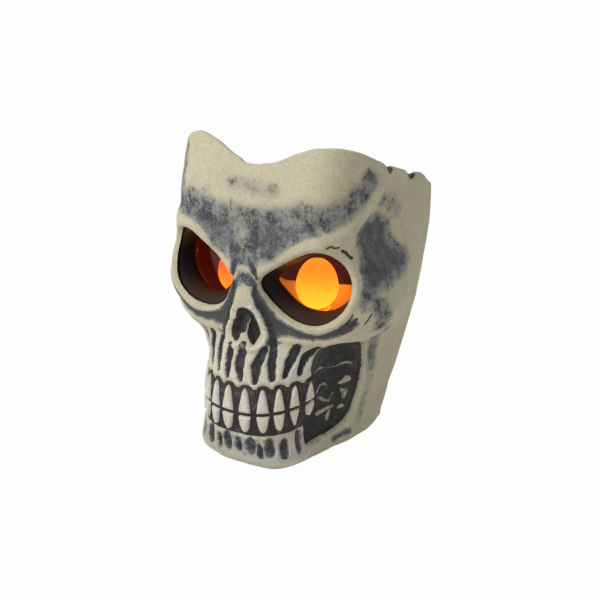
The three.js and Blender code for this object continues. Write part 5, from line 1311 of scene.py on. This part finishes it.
# Two lugs hold the pin, a hood covers the barrel from inside, and two bars stop the door.
LUG_GAP = 0.3
lug_top = hinge_y + HINGE_RADIUS / 2
lug = [(hinge_x + HINGE_RADIUS * math.cos(a), hinge_y + HINGE_RADIUS * math.sin(a))
       for a in np.linspace(math.pi / 2, 3 * math.pi / 2, 15)]
lug += [(hinge_x + 8.5, hinge_y - HINGE_RADIUS), (hinge_x + 8.5, lug_top), (hinge_x + 2.0, lug_top)]
hood_x, hood_y = hinge_x + HINGE_ROOM, door_low[1]
hood = [(hood_x + 2, panel_front), (hood_x + 2, hood_y - 1.2), (hinge_x - 2, hood_y - 1.2),
        (hinge_x - 2, hood_y - 0.4), (hood_x + 0.3, hood_y - 0.4), (hood_x + 0.3, panel_front)][::-1]
stop_x = door_low[0]
stop = [(stop_x - 2, panel_front), (stop_x + 2, panel_front - 0.3), (stop_x + 2, panel_front - 1.1),
        (stop_x - 2, panel_front - 1.1)][::-1]
bars = [bar(lug, foot, foot + LUG - LUG_GAP) for foot in (door_low[2], door_high[2] - LUG + LUG_GAP)]
bars += [bar(hood, door_low[2] + LUG, door_high[2] - LUG), bar(stop, door_low[2], door_middle - 7),
         bar(stop, door_middle + 7, door_high[2])]
panel = back_piece("back_panel", "skull", together(panel_plate, *bars), [printed_abs])
panel_xyz = np.array([v.co for v in panel.data.vertices]) / MM - [0, WALL_Y, 0]
printed = switch_marks(panel_xyz[:, 0], panel_xyz[:, 2]) * (panel_xyz[:, 1] > -2)
panel.data.attributes.new("mark", "FLOAT", "POINT").data.foreach_set("value", printed)

# %% [markdown]
# The slide has a ribbed grip and a wider foot behind the panel, which keeps it in its slot.

# %% Switch slide
KNOB_HALF, KNOB_ROUND, KNOB_GRIP, KNOB_FOOT_DEEP = 2.0, 0.4, 0.5, 2.2
knob_low, knob_high = wall_box("switch_knob")
knob_x = (knob_low[0] + knob_high[0]) / 2


def knob_rear_at(x, z, gap):
    across = np.abs(x - knob_x)
    grip = KNOB_GRIP * bump((x - knob_x + 0.5) % 1.0 - 0.5, 0.42) * soft(across, 1.8, 1.5)
    face = knob_high[1] - KNOB_GRIP + grip - rounded(np.minimum(gap, KNOB_HALF - across), KNOB_ROUND)
    return np.where(across <= KNOB_HALF, face, knob_low[1] + KNOB_FOOT_DEEP)


edges = [knob_x - KNOB_HALF, knob_x + KNOB_HALF]
knob_xs = np.sort(np.r_[knob_low[0], knob_high[0], edges[0] - 0.02, edges[1] + 0.02, np.linspace(*edges, 41)])
knob_plate = plate(knob_xs, np.linspace(knob_low[2], knob_high[2], 27),
                   lambda x, z: 0.001 - box_gap(x, z, knob_low[[0, 2]], knob_high[[0, 2]]),
                   knob_rear_at, lambda x, z: np.full(len(x), knob_low[1]))
back_piece("switch_knob", "switch_knob", knob_plate, [white_styrene])

# %% [markdown]
# The screws are zinc-plated pan heads with a cross recess. Each is turned a little differently,
# as a hand leaves them.

# %% Screws
SCREW_HEAD, SCREW_DOME, SCREW_SHANK = 1.5, 0.25, 0.446
CROSS_LONG, CROSS_HALF, CROSS_DEEP = 0.62, 0.15, 1.1
around = np.linspace(0, 2 * math.pi, 56, endpoint=False)


def cross_screw(node_name, turn):
    """Rings of a screw from the middle of its head outwards and down to its tip."""
    low, high = wall_box(node_name)
    middle_x, _, middle_z = (low + high) / 2
    radius = (high[0] - low[0]) / 2
    shape = []
    for r in np.linspace(0.02, 0.94, 16):
        u, v = np.abs(r * np.cos(around + turn)), np.abs(r * np.sin(around + turn))
        arm = np.minimum(np.maximum(u - CROSS_LONG, v - CROSS_HALF),
                         np.maximum(v - CROSS_LONG, u - CROSS_HALF))
        cross = (1 - soft(arm, -0.06, 0.03)) * (1 - 0.7 * r)
        shape.append((r, high[1] - SCREW_DOME * r ** 2 - CROSS_DEEP * cross))
    under = high[1] - SCREW_HEAD
    shape += [(1.0, high[1] - 0.45), (1.0, under), (SCREW_SHANK, under), (SCREW_SHANK, low[1] + 1.0),
              (0.1, low[1])]
    return capped([np.stack([middle_x + r * radius * np.cos(around), y * np.ones(len(around)),
                             middle_z + r * radius * np.sin(around)], axis=-1) for r, y in shape])


for count, screw_name in enumerate(BACK_SCREWS + ["door_screw"]):
    screw_body = "battery_door" if screw_name == "door_screw" else "skull"
    back_piece(screw_name, screw_body, cross_screw(screw_name, 0.4 + 0.83 * count), [zinc])

# %% [markdown]
# With the door open, the three cells and their springs show. A cell is a steel can in a shrink
# film, with a bare steel nub at one end and a bare flat at the other.

# %% Cells and springs
CELL_PROFILE = [(4.0, 0.0), (6.2, 0.0), (6.6, 0.25), (6.75, 0.25), (7.15, 0.75), (7.15, 48.8), (6.8, 49.3),
                (5.4, 49.4), (5.2, 49.1), (2.9, 49.2), (2.7, 49.5), (2.7, 50.2), (2.4, 50.5)]
BARE_RINGS = {0, 1, 8, 9, 10, 11}
CELL_SIDES = 40
SPRING_RADIUS, SPRING_WIRE, SPRING_CURLS, CURL_STEPS = 3.0, 0.4, 3, 28
wire_turn = np.linspace(0, 2 * math.pi, 10, endpoint=False)
for k in ("1", "2", "3"):
    low, high = wall_box("cell_" + k)
    spring_low, spring_high = wall_box("contact_spring_" + k)
    profile = [(r, low[2] + h) for r, h in CELL_PROFILE]
    bare = [int(r in BARE_RINGS) for r in range(len(profile) - 1)]
    # The spring presses on the flat end, so a cell with its spring on top stands on its nub.
    if spring_low[2] >= low[2]:
        profile = [(r, high[2] - h) for r, h in CELL_PROFILE][::-1]
        bare = bare[::-1]
    centre = ((low[0] + high[0]) / 2, (low[1] + high[1]) / 2)
    cell_solid = turned(profile, CELL_SIDES, centre)
    cell_piece = back_piece("cell_" + k, "skull", cell_solid, [film_jacket, zinc])
    cell_piece.data.polygons.foreach_set("material_index", list(np.repeat(bare, CELL_SIDES)) + [1, 1])

    rings = []
    for t in np.linspace(0, 1, SPRING_CURLS * CURL_STEPS + 1):
        way = t * SPRING_CURLS * 2 * math.pi
        reach = SPRING_RADIUS + SPRING_WIRE * np.cos(wire_turn)
        climb = spring_low[2] + SPRING_WIRE + t * (spring_high[2] - spring_low[2] - 2 * SPRING_WIRE)
        rings.append(np.stack([centre[0] + reach * math.cos(way), centre[1] + reach * math.sin(way),
                               climb + SPRING_WIRE * np.sin(wire_turn)], axis=-1))
    spring_points, spring_faces = capped(rings)
    spring_solid = (spring_points, [face[::-1] for face in spring_faces])
    back_piece("contact_spring_" + k, "skull", spring_solid, [zinc])

# %% [markdown]
# The studio is a pale floor that bends up into a backdrop, one large lamp above the left
# front, a weak fill, and a soft white sky. The floor shows white to the camera and still keeps
# the shadow of the skull.

# %% Floor and light
def seen(tree):
    """One for rays that show a thing directly, off gloss or through glass, and zero for others."""
    rays = add(tree, "LightPath").outputs
    direct = calc(tree, "MAXIMUM", rays["Is Camera Ray"], rays["Is Glossy Ray"])
    return calc(tree, "MAXIMUM", direct, rays["Is Transmission Ray"])


PURE_WHITE = (1, 1, 1, 1)
FLOOR_SEEN_WHITE, SKY_LIGHT, SKY_SEEN = 0.97, 0.36, 1.0
floor_paint, tree = finish("matt_white_studio_floor")
matt = add(tree, "BsdfDiffuse", {"Color": hex_colour("#EDEDEB")})
white = add(tree, "Emission", {"Color": PURE_WHITE, "Strength": 1.0})
mixed = add(tree, "MixShader", {
    0: calc(tree, "MULTIPLY", seen(tree), FLOOR_SEEN_WHITE), 1: matt.outputs[0], 2: white.outputs[0]})
add(tree, "OutputMaterial", {"Surface": mixed.outputs[0]})

# The sweep runs back from the front edge, bends up with this radius and ends in a wall.
FLOOR_HALF, BEND_START, BEND_RADIUS, BACKDROP, BELOW_FOOT = 6.0, 1.2, 0.6, 3.0, 0.0004
sweep = [(-FLOOR_HALF, 0.0), (BEND_START, 0.0)]
sweep += [(BEND_START + BEND_RADIUS * math.sin(a), BEND_RADIUS - BEND_RADIUS * math.cos(a))
          for a in np.linspace(0.15, math.pi / 2, 9)]
sweep += [(BEND_START + BEND_RADIUS, BACKDROP)]
floor_points = [(x, y, z - BELOW_FOOT) for y, z in sweep for x in (-FLOOR_HALF, FLOOR_HALF)]
floor_faces = [(2 * k, 2 * k + 1, 2 * k + 3, 2 * k + 2) for k in range(len(sweep) - 1)]
floor = in_scene("studio_sweep", smooth_mesh("studio_sweep", floor_points, floor_faces, [floor_paint]))


def softbox(name, spot, aim, size, power):
    """A round soft lamp that looks at its aim."""
    lamp = bpy.data.lights.new(name, "AREA")
    lamp.shape = "DISK"
    lamp.size = size
    lamp.energy = power
    holder = in_scene(name, lamp)
    holder.location = spot
    way = np.array(aim) - np.array(spot)
    holder.rotation_euler = (math.atan2(math.hypot(way[0], way[1]), -way[2]), 0, math.atan2(-way[0], way[1]))


softbox("key_softbox", (-0.75, -1.1, 1.2), (0, 0, 0.12), 0.8, 19)
softbox("fill_softbox", (1.3, -0.7, 0.7), (0, 0, 0.12), 1.0, 2.5)

world = bpy.data.worlds.new("studio_sky")
bpy.context.scene.world = world
world.use_nodes = True
tree = world.node_tree
tree.nodes.clear()
sky = add(tree, "Background", {
    "Color": PURE_WHITE, "Strength": between(tree, seen(tree), SKY_LIGHT, SKY_SEEN)})
add(tree, "OutputWorld", {"Surface": sky.outputs[0]})
print("floor, two softboxes and a sky")

# %% [markdown]
# The camera stands where the photograph was taken from: 33 degrees to the skull's left and
# 17.5 degrees above it, 950 mm away.

# %% Camera
AZIMUTH, ELEVATION = math.radians(33), math.radians(17.5)
TARGET = np.array([5, 0, 114.5])
DISTANCE = 950
back_way = np.array([
    math.sin(AZIMUTH) * math.cos(ELEVATION), -math.cos(AZIMUTH) * math.cos(ELEVATION), math.sin(ELEVATION)])
lens = bpy.data.cameras.new("studio_camera")
lens.sensor_width = 36
lens.lens = 72.6
camera = in_scene("studio_camera", lens)
camera.location = (TARGET + back_way * DISTANCE) * MM
camera.rotation_euler = (math.pi / 2 - ELEVATION, 0, AZIMUTH)
bpy.context.scene.camera = camera
bpy.context.scene.view_settings.view_transform = "Standard"
print("camera at", [round(value, 3) for value in camera.location])
